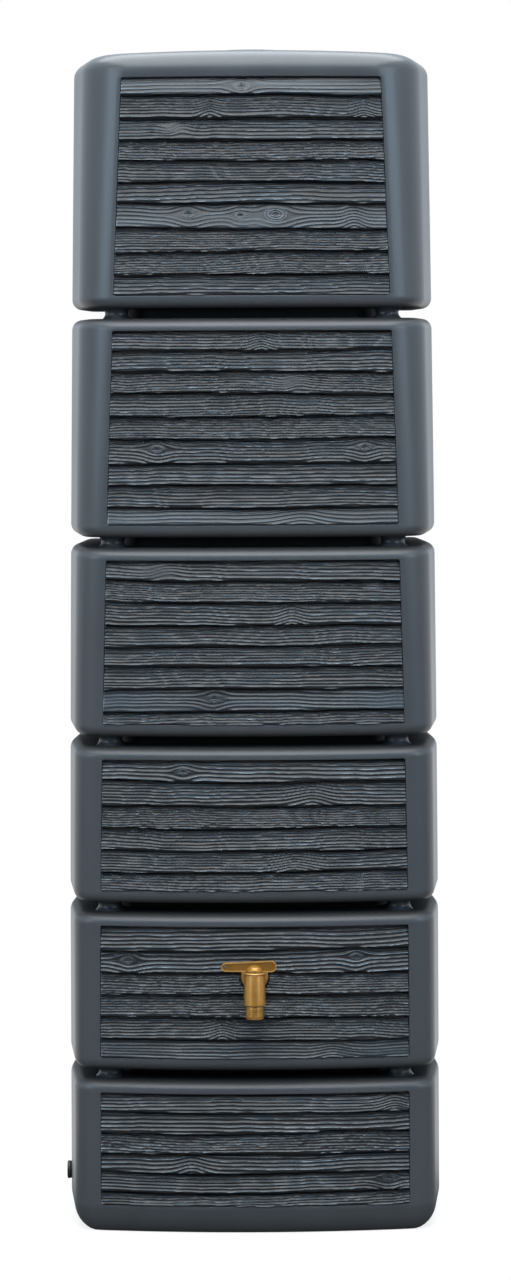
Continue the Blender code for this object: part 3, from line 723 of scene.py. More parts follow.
class Tank:
    """Moulded hollow tank with its sunk panel fields, necks, posts and filling mouth."""

    wall = 3.4 * MM
    edge_steps = 8
    # Painted shade on the tier edges beside the grooves, the turn of the edge over which it comes
    # in, and painted shade at the foot.
    edge_shade = 0.85
    edge_shade_start = 0.38
    edge_shade_run = 0.45
    base_shade = 0.65
    base_shade_fade = 0.6
    throat = ((2.0, 0.0), (0.6, -0.6), (0.0, -2.0), (0.0, -12.0))
    drain_hole = 13.3 * MM
    drill_reach = 50 * MM
    post_overlap = 0.6 * MM
    post_flare = 5.0 * MM
    post_wall = 4.0 * MM

    def __init__(self, form: TankForm, fields: Sequence[Pair]) -> None:
        """Keep the form and the heights of the panel fields, lowest first."""
        self.form = form
        self.fields = fields

    def tier_ring(self, z: float, shrink: float, sink: float) -> Ring:
        """Ring of a tier with its panel field shrunk or sunk."""
        form = self.form
        pocket = form.panel_half(z) + form.pocket_gap - shrink
        return Ring(z, form.tier_outline(z, 0.0), pocket, sink)

    def edge_ring(
        self, z: float, inset: float, front_share: float, fall: float, painted_shade: float
    ) -> Ring:
        """Ring of a tier's rounded edge."""
        form = self.form
        outline = form.tier_outline(z, inset, front_share)
        pocket = form.panel_half(z) - form.pocket_corner
        return Ring(z, outline, pocket, 0.0, fall / form.bow_at**2, painted_shade)

    def neck_ring(self, tier: int, z: float) -> Ring:
        """Ring of the neck above a tier."""
        form = self.form
        centre = form.groove_centres[tier]
        half = 0.5 * (form.front_half(centre) - form.neck_from_edge)
        # The neck is painted fully in shade.
        return Ring(z, form.neck_outline(centre), half, painted_shade=1.0)

    def field_rings(self, low: float, high: float) -> list[Ring]:
        """Rings through a sunk panel field, from its lower to its upper edge."""
        form = self.form
        gap, corner, deep = form.pocket_gap, form.pocket_corner, form.pocket_depth
        low, high = low - gap, high + gap
        ends = [0.0, 0.25 * corner, 0.6 * corner, corner]
        bows = [math.sqrt(max(0.0, corner**2 - (corner - rise) ** 2)) for rise in ends]
        edge = [(-rise, corner - bow, deep) for rise, bow in zip(ends, bows)][::-1]
        edge += [(out * MM, corner, sink * MM) for out, sink in LIP]
        rows = [(low - out, shrink, sink) for out, shrink, sink in edge[::-1]]
        inner = np.linspace(low + corner, high - corner, 9)[1:-1]
        rows += [(float(z), 0.0, deep) for z in inner]
        rows += [(high + out, shrink, sink) for out, shrink, sink in edge]
        return [self.tier_ring(*row) for row in rows]

    def rings(self) -> list[Ring]:
        """Rings up the whole tank to the edge of its crown."""
        form = self.form
        rings = []
        turns = [math.pi / 2 * i / self.edge_steps for i in range(self.edge_steps + 1)]
        for tier in range(form.tiers):
            low, high = form.tier_span(tier)
            first, last = tier == 0, tier == form.tiers - 1
            foot = form.base_edge if first else form.tier_edge
            head = form.crown_edge if last else form.tier_edge
            share = form.base_front_share if first else 1.0
            fall = form.crown_fall if last else 0.0
            # Painted shade at the foot of the tank and on the lower edge of every other tier,
            # strongest at the bottom.
            most, fade = (self.base_shade, self.base_shade_fade) if first else (self.edge_shade, 1.0)
            if not first:
                rings.append(self.neck_ring(tier - 1, low))
            for turn in turns:
                z = low + foot * (1 - math.cos(turn))
                inset = foot * (1 - math.sin(turn))
                painted_shade = most * (1 - fade * math.sin(turn))
                rings.append(self.edge_ring(z, inset, share, 0.0, painted_shade))
            rings += self.field_rings(*self.fields[tier])
            for turn in turns:
                z = high - head * (1 - math.sin(turn))
                inset = head * (1 - math.cos(turn))
                # Painted shade on the upper part of each top edge, under the tier above; none on
                # the crown.
                deep = min(1.0, max(0.0, (turn - self.edge_shade_start) / self.edge_shade_run))
                painted_shade = 0.0 if last else self.edge_shade * deep
                rings.append(self.edge_ring(z, inset, 1.0, fall * math.sin(turn), painted_shade))
            if not last:
                rings.append(self.neck_ring(tier, high))
        return rings

    def crown_loops(self, edge: Array) -> list[Array]:
        """Loops from the edge of the crown over the round seat and down into the mouth."""
        form = self.form
        count = len(edge)
        even = math.tau * np.arange(count) / count - math.pi / 2

        def circle(radius: float, z: float) -> Array:
            """Level circle with as many points as the edge."""
            across, along = radius * np.cos(even), radius * np.sin(even)
            return np.column_stack((across, along, np.full(count, z)))

        seat = circle(form.seat_radius, form.top)
        loops = [edge * (1 - share) + seat * share for share in (0.25, 0.5, 0.75)]
        mouth = shifted(form.mouth_radius, form.top, self.throat)
        return loops + [seat] + [circle(radius, z) for radius, z in mouth]

    def build(self, finishes: Finishes) -> None:
        """Build the tank's skin and its groove posts."""
        maker = Mesher()
        rings = self.rings()
        levels = [ring.points() for ring in rings]
        levels += self.crown_loops(levels[-1])
        # Painted shade level of each ring, stored on the mesh for the tank's material.
        shade_levels = [ring.painted_shade for ring in rings] + [0.0] * (len(levels) - len(rings))
        bm = maker.bm
        layer = bm.verts.layers.float.new("painted_shade")
        count = len(levels[0])
        loop = bmesh.ops.create_circle(bm, cap_ends=False, radius=0.2, segments=count)["verts"]
        edges = [bm.edges.get((loop[i - 1], loop[i])) for i in range(count)]
        for vert, point in zip(loop, levels[0]):
            vert.co = point
        bmesh.ops.edgeloop_fill(bm, edges=edges)
        for level, depth in zip(levels[1:], shade_levels[1:]):
            grown = bmesh.ops.extrude_edge_only(bm, edges=edges)["geom"]
            for vert, point in zip(only(Vert, grown), level):
                vert.co = point
                vert[layer] = depth
            edges = [edge for edge in only(bmesh.types.BMEdge, grown) if edge.is_boundary]
        bmesh.ops.recalc_face_normals(bm, faces=bm.faces)
        skin = maker.piece("tank_skin", finishes, finishes.tank, Body.TANK, "tank_shell", 50.0)
        thick = skin.modifiers.new("wall", "SOLIDIFY")
        thick.thickness = self.wall
        thick.offset = -1.0
        self.drill(skin)
        self.build_posts(finishes)

    def drill(self, skin: bpy.types.Object) -> None:
        """Cut the hole of the drain bush through the left side.

        Args:
            skin: The tank's skin with its wall.
        """
        low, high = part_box("drain_insert")
        middle = (low + high) / 2
        place = Matrix.Translation((low.x, middle.y, middle.z))
        size = {"radius1": self.drain_hole, "radius2": self.drain_hole, "depth": self.drill_reach}
        bm = bmesh.new()
        place = place @ Matrix.Rotation(math.pi / 2, 4, "Y")
        bmesh.ops.create_cone(bm, cap_ends=True, segments=64, matrix=place, **size)
        mesh = baked("drain_hole", bm)
        drill = put("drain_hole", mesh)
        cut = skin.modifiers.new("drain_hole", "BOOLEAN")
        cut.object = drill
        graph = bpy.context.evaluated_depsgraph_get()
        whole = bpy.data.meshes.new_from_object(skin.evaluated_get(graph))
        skin.modifiers.clear()
        plain, skin.data = skin.data, whole
        bpy.data.meshes.remove(plain)
        bpy.data.objects.remove(drill)
        bpy.data.meshes.remove(mesh)
        whole.name = skin.name

    def build_posts(self, finishes: Finishes) -> None:
        """Build the waisted hollow posts that carry one tier on the next."""
        form = self.form
        maker = Mesher()
        half = form.groove_height / 2 + self.post_overlap
        radius, inner = form.post_radius, form.post_radius - self.post_wall
        profile = [
            (radius + self.post_flare * abs(t) ** 2.2, half * t) for t in np.linspace(1.0, -1.0, 11)
        ]
        profile += [(inner, -half), (inner, half)]
        for z in form.groove_centres:
            x = form.front_half(z) - form.post_from_edge
            for side in (-x, x):
                for y in (-form.post_offset, form.post_offset):
                    maker.move(maker.spin(profile, 28), Matrix.Translation((side, y, z)))
        maker.piece("groove_posts", finishes, finishes.tank, Body.TANK, "tank_shell")


class KnotKind(Enum):
    """Ways a knot shows in the grain."""

    EYE = "ringed eye that the grain flows round"
    SWIRL = "grain that rises in a steep fold"
    PATCH = "worn patch that the grain runs into"


@dataclass(frozen=True)
class Knot:
    """Knot in a plank: number of the plank from the top, place across, half width and kind."""

    plank: int
    across: float
    reach: float
    kind: KnotKind = KnotKind.EYE


class Chance:
    """Seeded chance fields of a panel."""

    def __init__(self, seed: int) -> None:
        """Start from a seed."""
        self.source = np.random.default_rng(seed)

    def between(self, low: float, high: float) -> float:
        """One value between two limits."""
        return float(self.source.uniform(low, high))

    def lines(self, rows: int, x: Array, cell: float) -> Array:
        """Smooth values from -1 to 1 along x, a line of them for each row."""
        spot = (x - x.min()) / cell
        index = spot.astype(int)
        share = spot - index
        share = share * share * (3 - 2 * share)
        table = self.source.uniform(-1.0, 1.0, (rows, int(index.max()) + 2))
        return table[:, index] * (1 - share) + table[:, index + 1] * share

    def cloud(self, x: Array, z: Array, cell_x: float, cell_z: float) -> Array:
        """Smooth values from -1 to 1 over a patch of x and z."""
        spot_x, spot_z = (x - x.min()) / cell_x, (z - z.min()) / cell_z
        i, j = spot_x.astype(int), spot_z.astype(int)
        u, v = spot_x - i, spot_z - j
        u, v = u * u * (3 - 2 * u), v * v * (3 - 2 * v)
        table = self.source.uniform(-1.0, 1.0, (int(j.max()) + 2, int(i.max()) + 2))
        low = table[j, i] * (1 - u) + table[j, i + 1] * u
        high = table[j + 1, i] * (1 - u) + table[j + 1, i + 1] * u
        return low * (1 - v) + high * v


@dataclass
class Flow:
    """Course of the grain in one plank while its knots are put in.

    Attributes:
        field: Distance along which the lines of the grain are counted.
        calm: How much of the grain is worn smooth, from 0 to 1.
        rings: Level of the grain inside the eyes.
        inside: How far a spot lies inside an eye, from 0 to 1.
    """

    field: Array
    calm: Array
    rings: Array
    inside: Array
    ring_count = 3.1
    upright_crack = 1.5 * MM
    level_crack = 0.9 * MM

    def add_eye(self, aside: Array, below: Array, wide: float, tall: float) -> None:
        """Part the grain round a ringed eye with a cross-shaped crack.

        Args:
            aside: Distance to the right of the knot.
            below: Distance below the knot.
            wide: Half width of the knot.
            tall: Half height of the knot.
        """
        push = tall * np.exp(-((aside / (2.0 * wide)) ** 2))
        self.field = self.field - push * np.tanh(1.8 * below / tall)
        span = np.hypot(aside / wide, below / tall)
        within = np.clip((1.15 - span) / 0.2, 0.0, 1.0)
        wave = np.cos(math.tau * self.ring_count * (span - 1.0))
        turned = 0.38 + 0.30 * wave - 0.20 * np.exp(-((span / 0.45) ** 2))
        upright = np.exp(-((aside / self.upright_crack) ** 2) - (below / (0.55 * tall)) ** 2)
        level = np.exp(-((below / self.level_crack) ** 2) - (aside / (0.45 * wide)) ** 2)
        turned = turned - 0.5 * np.maximum(upright, level)
        self.rings = self.rings * (1 - within) + within * turned
        self.inside = np.maximum(self.inside, within)

    def add_swirl(self, aside: Array, steep: Array, wide: float, pitch: float) -> None:
        """Lift the grain in a fold by so many lines, given row by row."""
        fold = np.exp(-((aside / (1.6 * wide)) ** 2))
        self.field = self.field + pitch * fold * steep

    def add_patch(
        self, aside: Array, below: Array, wide: float, tall: float, jump: float
    ) -> None:
        """Run the grain into a worn patch, with a jump from its left to its right."""
        span = (aside / (1.9 * wide)) ** 2 + (below / (1.3 * tall)) ** 2
        self.field = self.field + jump * np.tanh(aside / wide) * np.exp(-span)
        self.calm = np.maximum(self.calm, 0.9 * np.exp(-(span**2)))


@dataclass
class PlankPanel:
    """Panel of lapped planks with a moulded wood relief.

    Attributes:
        tier: Number of the tier, 1 at the top.
        heights: Height of each plank from the top, in parts of the panel.
        knots: Knots that show in the relief.
        sawn: Planks with a rough-sawn face.
        smooth: Planks whose grain is worn nearly away.
        seed: Start of the panel's own chance values.
    """

    tier: int
    heights: tuple[float, ...]
    knots: tuple[Knot, ...]
    sawn: tuple[int, ...]
    smooth: tuple[int, ...]
    seed: int
    lap: float = 5.6 * MM
    proud: float = 2.6 * MM
    ridge: float = 1.8 * MM
    back: float = 6.9 * MM
    end_play: float = 0.9 * MM
    end_fit: float = 0.6 * MM
    row_pitch: float = 0.9 * MM
    column_pitch: float = 2.0 * MM
    sawn_pitch = (3.6, 4.2)
    plain_pitch = (4.4, 6.2)
    sway = ((2.2 * MM, 0.13), (0.7 * MM, 0.032))
    tilt = 0.012
    stray = 1.5 * MM
    crest_power = 3.3
    crest_level = 0.94
    worn_level = 0.40
    smooth_gain = 0.15
    least_wall = 0.3 * MM
    nose = 1.1 * MM
    # Reach of the painted shadow under each lap and width of the painted highlight on the left
    # plank ends.
    shelter = 5.6 * MM
    lit_end = 2.2 * MM
    back_level = 0.08
    seat_snap = 1.1 * MM
    near = 1e-6
    near_level = 1e-5

    @property
    def node(self) -> str:
        """CAD node that the panel stands for."""
        return "tier_%d_panel" % self.tier

    def flow(self, chance: Chance, plank: int, x: Array, down: Array, pitch: float) -> Flow:
        """Work out the course of the grain in one plank.

        Args:
            chance: The panel's chance values.
            plank: Number of the plank from the top.
            x: Place across, row by row.
            down: Distance below the plank's upper edge, row by row.
            pitch: Distance between lines of the grain.

        Returns:
            The course with all knots of the plank.
        """
        tall = float(down.mean(axis=1)[-1])
        field = down
        for height, length in self.sway:
            field = field + height * chance.lines(1, x[0], length)[0]
        field = field + chance.between(-self.tilt, self.tilt) * x
        field = field + self.stray * chance.cloud(x, down, 0.21, 13 * MM)
        calm = np.clip(0.55 + 0.35 * chance.cloud(x, down, 0.11, 11 * MM), 0.0, 1.0)
        made = Flow(field, calm * (plank in self.smooth), np.zeros_like(x), np.zeros_like(x))
        for knot in (item for item in self.knots if item.plank == plank):
            aside = x - knot.across
            below = down - tall * chance.between(0.42, 0.58)
            lift = min(0.62 * knot.reach, 0.34 * tall)
            if knot.kind is KnotKind.EYE:
                made.add_eye(aside, below, knot.reach, lift)
            elif knot.kind is KnotKind.SWIRL:
                made.add_swirl(aside, 0.9 + 0.9 * down / tall, knot.reach, pitch)
            else:
                made.add_patch(aside, below, knot.reach, lift, 1.5 * pitch)
        return made

    def grain(
        self, chance: Chance, plank: int, x: Array, down: Array
    ) -> tuple[Array, Array]:
        """Work out the grain of one plank.

        Args:
            chance: The panel's chance values.
            plank: Number of the plank from the top.
            x: Place across, row by row.
            down: Distance below the plank's upper edge, row by row.

        Returns:
            Height of the grain from 0 to 1, and how much of it is worn smooth.
        """
        sawn, smooth = plank in self.sawn, plank in self.smooth
        flat = x[0]
        pitch = chance.between(*(self.sawn_pitch if sawn else self.plain_pitch)) * MM
        flow = self.flow(chance, plank, x, down, pitch)
        phase = flow.field / pitch
        number = np.floor(phase + 0.5).astype(int)
        offset = phase - number
        number = number - number.min()
        count = int(number.max()) + 1
        stroke = 0.45 if sawn else 0.10
        strength = 0.22 * chance.lines(count, flat, 80 * MM)
        strength = strength + stroke * chance.lines(count, flat, 9.0 * MM)
        column = np.broadcast_to(np.arange(x.shape[1]), x.shape)
        spacing = np.gradient(phase, axis=0) / np.gradient(down, axis=0) * pitch
        strength = (self.crest_level + strength[number, column]) * np.clip(spacing, 0.2, 1.0)
        crest = (0.5 + 0.5 * np.cos(math.tau * offset)) ** self.crest_power
        grain = strength * crest + 0.08 * chance.cloud(x, down, 30 * MM, 1.9 * MM)
        dash = chance.cloud(x, down, 6.0 * MM, 1.9 * MM)
        end = np.exp(-(((x - flat[0]) / (60 * MM)) ** 2)) * chance.between(0.1, 0.9)
        patchy = chance.cloud(x, down, 100 * MM, 50 * MM)
        rough = np.clip((0.42 if sawn else 0.04) + 0.4 * end + 0.25 * patchy, 0.0, 1.0)
        grain = grain * (1 - 0.40 * rough) + rough * (0.18 + 0.36 * dash)
        worn = self.worn_level + self.smooth_gain * smooth
        grain = grain * (1 - flow.calm) + flow.calm * worn
        grain = grain * (1 - flow.inside) + flow.inside * (0.25 + 0.75 * flow.rings)
        return np.clip(grain, -0.3, 1.15), flow.calm

    def relief(self, form: TankForm, low: float, high: float) -> dict[str, Array]:
        """Work out the surface of the panel.

        Args:
            form: Form of the tank.
            low: Lower edge of the panel.
            high: Upper edge of the panel.

        Returns:
            Arrays of X, depth, Z and relief value, row by row from the top; the relief value
            carries grain tone, painted shade and painted highlights.
        """
        chance = Chance(self.seed)
        half = form.panel_half((low + high) / 2)
        flat = np.linspace(-half, half, round(2 * half / self.column_pitch) + 1)
        edges = np.concatenate(((0.0,), np.cumsum(self.heights)))
        levels = high - (high - low) * edges / edges[-1]
        bounds = [np.full_like(flat, level) for level in levels]
        for line in bounds[1:-1]:
            wave = 1.6 * MM * chance.lines(1, flat, 0.12)[0]
            line += wave + 0.5 * MM * chance.lines(1, flat, 0.025)[0]
            line += chance.between(-2.0, 2.0) * MM * flat / half
        grid: dict[str, list] = {"x": [], "depth": [], "z": [], "relief": []}
        for plank, (upper, lower) in enumerate(zip(bounds, bounds[1:])):
            count = max(12, round(float((upper - lower).mean()) / self.row_pitch))
            share = np.linspace(0.0, 1.0, count)[:, None]
            z = upper * (1 - share) + lower * share
            x = np.broadcast_to(flat, z.shape)
            grain, calm = self.grain(chance, plank, x, upper - z)
            slope = share**1.05
            lean = 1.0 + 0.12 * chance.lines(1, flat, 0.15)
            depth = self.lap * lean * (1 - slope) - self.proud * slope
            depth = depth + self.ridge * (0.75 - grain)
            depth = depth + self.nose * np.clip((share - 0.955) / 0.045, 0.0, 1.0) ** 2
            # Painted shadow: the value falls nearly to black just under the proud edge of the plank
            # above.
            sheltered = np.clip((upper - z) / self.shelter, 0.0, 1.0) ** 1.4
            # Painted highlight on the left ends of the planks, which face the light.
            lit_end = np.clip(1 - (x - flat[0]) / self.lit_end, 0.0, 1.0) * (grain > 0.35)
            # Lighter on the grain's crests and on worn smooth parts: partly the grain's tone,
            # partly painted highlight.
            value = 0.12 + 0.80 * np.clip(grain, 0.0, 1.0) + 0.10 * calm
            value = value * (0.06 + 0.94 * sheltered)
            rise = (z - low) / (high - low)
            ends = (1 - rise) * form.panel_half(low) + rise * form.panel_half(high)
            fit = 1 + (self.end_fit - chance.between(0.0, self.end_play)) / half
            grid["x"].append(x * (ends / half) * fit)
            grid["depth"].append(np.minimum(depth, self.back - self.least_wall))
            grid["z"].append(z)
            grid["relief"].append(np.maximum(value, 0.9 * lit_end))
        return {key: np.vstack(parts) for key, parts in grid.items()}

    def build(self, form: TankForm, finishes: Finishes, hole: Pair | None) -> None:
        """Build the panel.

        Args:
            form: Form of the tank.
            finishes: All materials.
            hole: Height and radius of the seat under the tap's gasket, if it has one.
        """
        box_low, box_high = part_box(self.node)
        low, high = box_low.z, box_high.z
        shape = self.relief(form, low, high)
        x, z, depth = shape["x"], shape["z"], shape["depth"]
        corner = form.pocket_corner - form.pocket_gap
        rise = np.clip(np.minimum(z - low, high - z), 0.0, corner)
        shrink = corner - np.sqrt(np.maximum(0.0, corner**2 - (corner - rise) ** 2))
        x = x * (1 - shrink / np.abs(x[:, -1:]))
        if hole is not None:
            away = np.maximum(np.hypot(x, z - hole[0]), self.near)
            depth = np.where(away < hole[1], self.back - self.least_wall, depth)
            pull = np.where(np.abs(away - hole[1]) < self.seat_snap, hole[1] / away, 1.0)
            x, z = x * pull, hole[0] + (z - hole[0]) * pull
        maker = Mesher()
        bm = maker.bm
        tall, wide = x.shape
        bmesh.ops.create_grid(bm, x_segments=wide - 1, y_segments=tall - 1, size=0.5)
        layer = bm.verts.layers.float.new("relief")
        y = -form.half_depth + form.bow(x) + depth
        for index, vert in enumerate(bm.verts):
            row, column = divmod(index, wide)
            spot = (tall - 1 - row, column)
            vert.co = (x[spot], y[spot], z[spot])
            vert[layer] = shape["relief"][spot]
        self.close_back(bm, form, layer, low, high)
        bmesh.ops.recalc_face_normals(bm, faces=bm.faces)
        name = "plank_panel_%d" % self.tier
        maker.piece(name, finishes, finishes.plank, Body.TANK, self.node, 60.0)

    def close_back(
        self, bm: bmesh.types.BMesh, form: TankForm, layer: bmesh.types.BMLayerItem,
        low: float, high: float,
    ) -> None:
        """Give the panel its thickness and a bowed back.

        Args:
            bm: The panel's face.
            form: Form of the tank.
            layer: Layer of relief values.
            low: Lower edge of the panel.
            high: Upper edge of the panel.
        """
        rim = [edge for edge in bm.edges if edge.is_boundary]
        grown = bmesh.ops.extrude_edge_only(bm, edges=rim)["geom"]
        ends = []
        for vert in only(Vert, grown):
            vert.co.y = -form.half_depth + form.bow(vert.co.x) + self.back
            vert[layer] = self.back_level
            if low + self.near < vert.co.z < high - self.near:
                ends.append(vert)
        bmesh.ops.dissolve_verts(bm, verts=ends)
        rim = [edge for edge in bm.edges if edge.is_boundary]
        rises = [abs(edge.verts[0].co.z - edge.verts[1].co.z) for edge in rim]
        level = [edge for edge, rise in zip(rim, rises) if rise < self.near_level]
        bmesh.ops.bridge_loops(bm, edges=level)


class Lid:
    """Domed lid with a rolled rim, a skirt in the mouth and a grip bar.

    The tables of points are in millimetres, outward and upward.
    """

    steps = 96
    seat_gap = 0.3 * MM
    skirt = 73.4 * MM
    dome = 8.0 * MM
    dome_fall = 4.6 * MM
    dome_end = 0.955
    rim = ((-1.6, 3.4), (-0.4, 2.4), (0, 1.2), (-0.4, 0.3), (-1.2, 0))
    skirt_end = ((0, 1.5), (-1, 0), (-2, 0), (-3, 1))
    grip = (65 * MM, 14 * MM)
    grip_below_top = 2.6 * MM
    grip_root = 3.0 * MM
    grip_edge = 2.4 * MM
    rib = ((1.6, -0.9), (0.9, 0.55), (-0.9, 0.75), (-1.6, -0.4))
    ribs = 3
    rib_start = 0.40
    rib_step = 0.20

    def fall(self, share: float) -> float:
        """How far the dome falls at a share of its radius."""
        return self.dome_fall * share**2.2

    def build(self, finishes: Finishes) -> None:
        """Build the lid; its flat seal stays the part's own."""
        low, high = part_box("lid")
        radius = (high.x - low.x) / 2
        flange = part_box("lid_seal")[1].z + self.seat_gap
        dome = flange + self.dome
        maker = Mesher()
        shares = np.linspace(0.0, self.dome_end, 22)
        profile = [(radius * t, dome - self.fall(t)) for t in shares]
        profile += shifted(radius, flange, self.rim)
        profile += [(self.skirt, flange)] + shifted(self.skirt, low.z, self.skirt_end)
        profile += shifted(self.skirt, flange, ((-3, 2.6),))
        profile += [(0.5 * radius, dome - 4.2 * MM), (0.0, dome - 3.0 * MM)]
        maker.spin(profile, self.steps, closed=False)
        grip_top = high.z - self.grip_below_top
        height = grip_top - dome + self.grip_root
        grip = maker.box((*self.grip, height), self.grip_edge, 4)
        maker.move(grip, Matrix.Translation((0.0, 0.0, grip_top - height / 2)))
        for number in range(self.ribs):
            share = self.rib_start + self.rib_step * number
            rib = shifted(radius * share, dome - self.fall(share), self.rib)
            maker.spin(rib, self.steps)
        maker.piece("lid_cover", finishes, finishes.lid, Body.LID, "lid")


class LeverTap:
    """Bronze lever tap: body, gasket, nozzle, and the lever that turns the plug.

    The tables of points are in millimetres, outward and upward, and along the inlet
    outward and to the front.
    """

    steps = 64
    gap = 0.3 * MM
    barrel_top = 15.6 * MM
    barrel_base = 16.9 * MM
    bead = 0.8 * MM
    bead_height = 2.4 * MM
    # Painted highlight on the bead, as a stored value.
    bead_shine = 0.7
    neck = ((-0.25, -3.1), (0.05, -3.6))
    foot_groove = ((-0.15, 1.6), (0, 1.1), (-0.15, 0.5), (-0.8, 0))
    bore = ((10.3, 0), (10.3, 9.0), (10.8, 12.8))
    shoulder = 21.0 * MM
    collar = ((10.4, 13.0), (10.8, 11.0), (12.2, 9.2), (18.9, 8.0), (20.2, 7.4))
    shoulder_edge = ((0, 6.0), (0, 0.8), (-0.6, 0))
    shank_end = ((13.0, 0.8), (12.3, 0), (6.0, 0))
    nozzle = 14.3 * MM
    nozzle_lift = 2.4 * MM
    thread_start = 4.6 * MM
    thread_pitch = 2.5 * MM
    thread = ((-0.45, 0), (0, 0.35), (0, 0.60), (-0.45, 0.95))
    thread_rings = 5
    lever_below_top = 8.0 * MM
    lever_half = 3.0 * MM
    web_inset = 1.6 * MM
    # Painted shade in the lever's web and painted highlight on its rims, as stored values.
    web_shade = -0.6
    rim_shine = 0.8
    end_at = -44.6 * MM
    end_drop = 1.0 * MM
    end_radius = 6.6 * MM
    eye_radius = 1.8 * MM
    nose_at = 25.0 * MM
    nose_radius = 8.7 * MM
    hub = 13.2 * MM
    hub_dome = 9.6 * MM
    hub_wall = 1.4 * MM
    gasket_bore = 13.3 * MM

    def __init__(self) -> None:
        """Read the tap's axis and levels from the part."""
        low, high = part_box("tap_plug")
        self.axis = Vector(((low.x + high.x) / 2, (low.y + high.y) / 2, 0.0))
        self.inlet = sum(corner.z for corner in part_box("tap_gasket")) / 2
        body_low, body_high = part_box("tap_body")
        self.foot = body_low.z
        self.body_back = body_high.y
        self.head = high.z + self.gap
        self.nozzle_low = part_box("tap_nozzle")[0].z
        self.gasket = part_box("tap_gasket")

    def upright(self) -> Matrix:
        """Place of the barrel's axis."""
        return Matrix.Translation(self.axis)

    def outward(self) -> Matrix:
        """Place of the inlet's axis, with +Z turned to the front."""
        place = Matrix.Translation((self.axis.x, 0.0, self.inlet))
        return place @ Matrix.Rotation(math.pi / 2, 4, "X")

    def build(self, finishes: Finishes) -> None:
        """Build every visible piece of the tap."""
        self.build_body(finishes)
        self.build_nozzle(finishes)
        self.build_lever(finishes)
        self.build_gasket(finishes)

    def build_body(self, finishes: Finishes) -> None:
        """Tapered barrel with a beaded head, a grooved foot and a shouldered shank."""
        maker = Mesher()
        head, foot = self.head, self.foot
        top, base = self.barrel_top, self.barrel_base
        barrel = shifted(top, head, ((-0.5, 0),))
        for t in np.linspace(0, 1, 7):
            level = head - 0.4 * MM - self.bead_height * t
            barrel.append((top + self.bead * math.sin(math.pi * t), level))
        barrel += shifted(top, head, self.neck) + shifted(base, foot, self.foot_groove)
        barrel += shifted(0.0, foot, self.bore) + shifted(0.0, head, ((10.8, 0),))
        # Painted highlight on the bead, stored for the bronze finish.
        worn = maker.bm.verts.layers.float.new("worn")
        verts = maker.spin(barrel, self.steps)
        for vert in verts:
            vert[worn] = self.bead_shine if vert.co.z > head - self.bead_height else 0.0
        maker.move(verts, self.upright())
        reach, back = -self.axis.y, -self.body_back
        face = -self.gasket[0].y + self.gap
        shank = shifted(0.0, reach, ((10.4, -12.0),)) + shifted(0.0, face, self.collar)
        shank += shifted(self.shoulder, face, self.shoulder_edge)
        shank += shifted(0.0, face, ((13.0, 0),)) + shifted(0.0, back, self.shank_end)
        shank += shifted(0.0, reach, ((6.0, -12.0),))
        verts = maker.spin(shank, self.steps)
        maker.move(verts, self.outward())
        maker.piece("tap_barrel", finishes, finishes.bronze, Body.TANK, "tap_body")

    def build_nozzle(self, finishes: Finishes) -> None:
        """Hose nozzle with shallow thread rings and a rounded mouth."""
        maker = Mesher()
        top, low = self.foot - self.gap, self.nozzle_low + self.nozzle_lift
        radius, pitch = self.nozzle, self.thread_pitch
        profile = shifted(0.0, top, ((10.0, 6.4), (10.0, 0)))
        profile += shifted(radius, top, ((-0.9, 0), (-0.5, -0.6)))
        first = top - self.thread_start
        for number in range(self.thread_rings):
            level = first - number * pitch
            profile += [(radius + out * MM, level - share * pitch) for out, share in self.thread]
        profile += shifted(radius, low, ((-0.4, 1.0), (-1.2, 0)))
        profile += shifted(0.0, low, ((8.2, 0), (7.3, 0.9)))
        profile += shifted(0.0, top, ((7.3, 6.4),))
        maker.move(maker.spin(profile, self.steps), self.upright())
        maker.piece("tap_hose_nozzle", finishes, finishes.bronze, Body.TANK, "tap_nozzle")

    def lever_outline(self, shrink: float) -> list[Pair]:
        """Outline of the lever about the barrel's axis and its own middle line.

        Args:
            shrink: How far the outline is drawn in.

        Returns:
            Points in X and Z.
        """
        end, nose = self.end_radius - shrink, self.nose_radius - shrink
        points = []
        for angle in np.linspace(math.pi / 2, 1.5 * math.pi, 19):
            level = end * math.sin(angle) - self.end_drop
            points.append((self.end_at + end * math.cos(angle), level))
        for angle in np.linspace(-math.pi / 2, math.pi / 2, 21):
            points.append((self.nose_at + nose * math.cos(angle), nose * math.sin(angle)))
        return points

    def lever_eye(self) -> list[Pair]:
        """Outline of the eye in the lever's end."""
        turns = np.linspace(0.0, math.tau, 20, endpoint=False)
        radius, drop = self.eye_radius, self.end_drop
        return [(self.end_at + radius * math.cos(a), radius * math.sin(a) - drop) for a in turns]

    def build_lever(self, finishes: Finishes) -> None:
        """Lever plate with a raised rim and an eye, on a domed hub."""
        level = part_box("tap_handle")[1].z - self.lever_below_top
        half = self.lever_half
        place = Matrix.Translation((self.axis.x, self.axis.y, level))
        maker = Mesher()
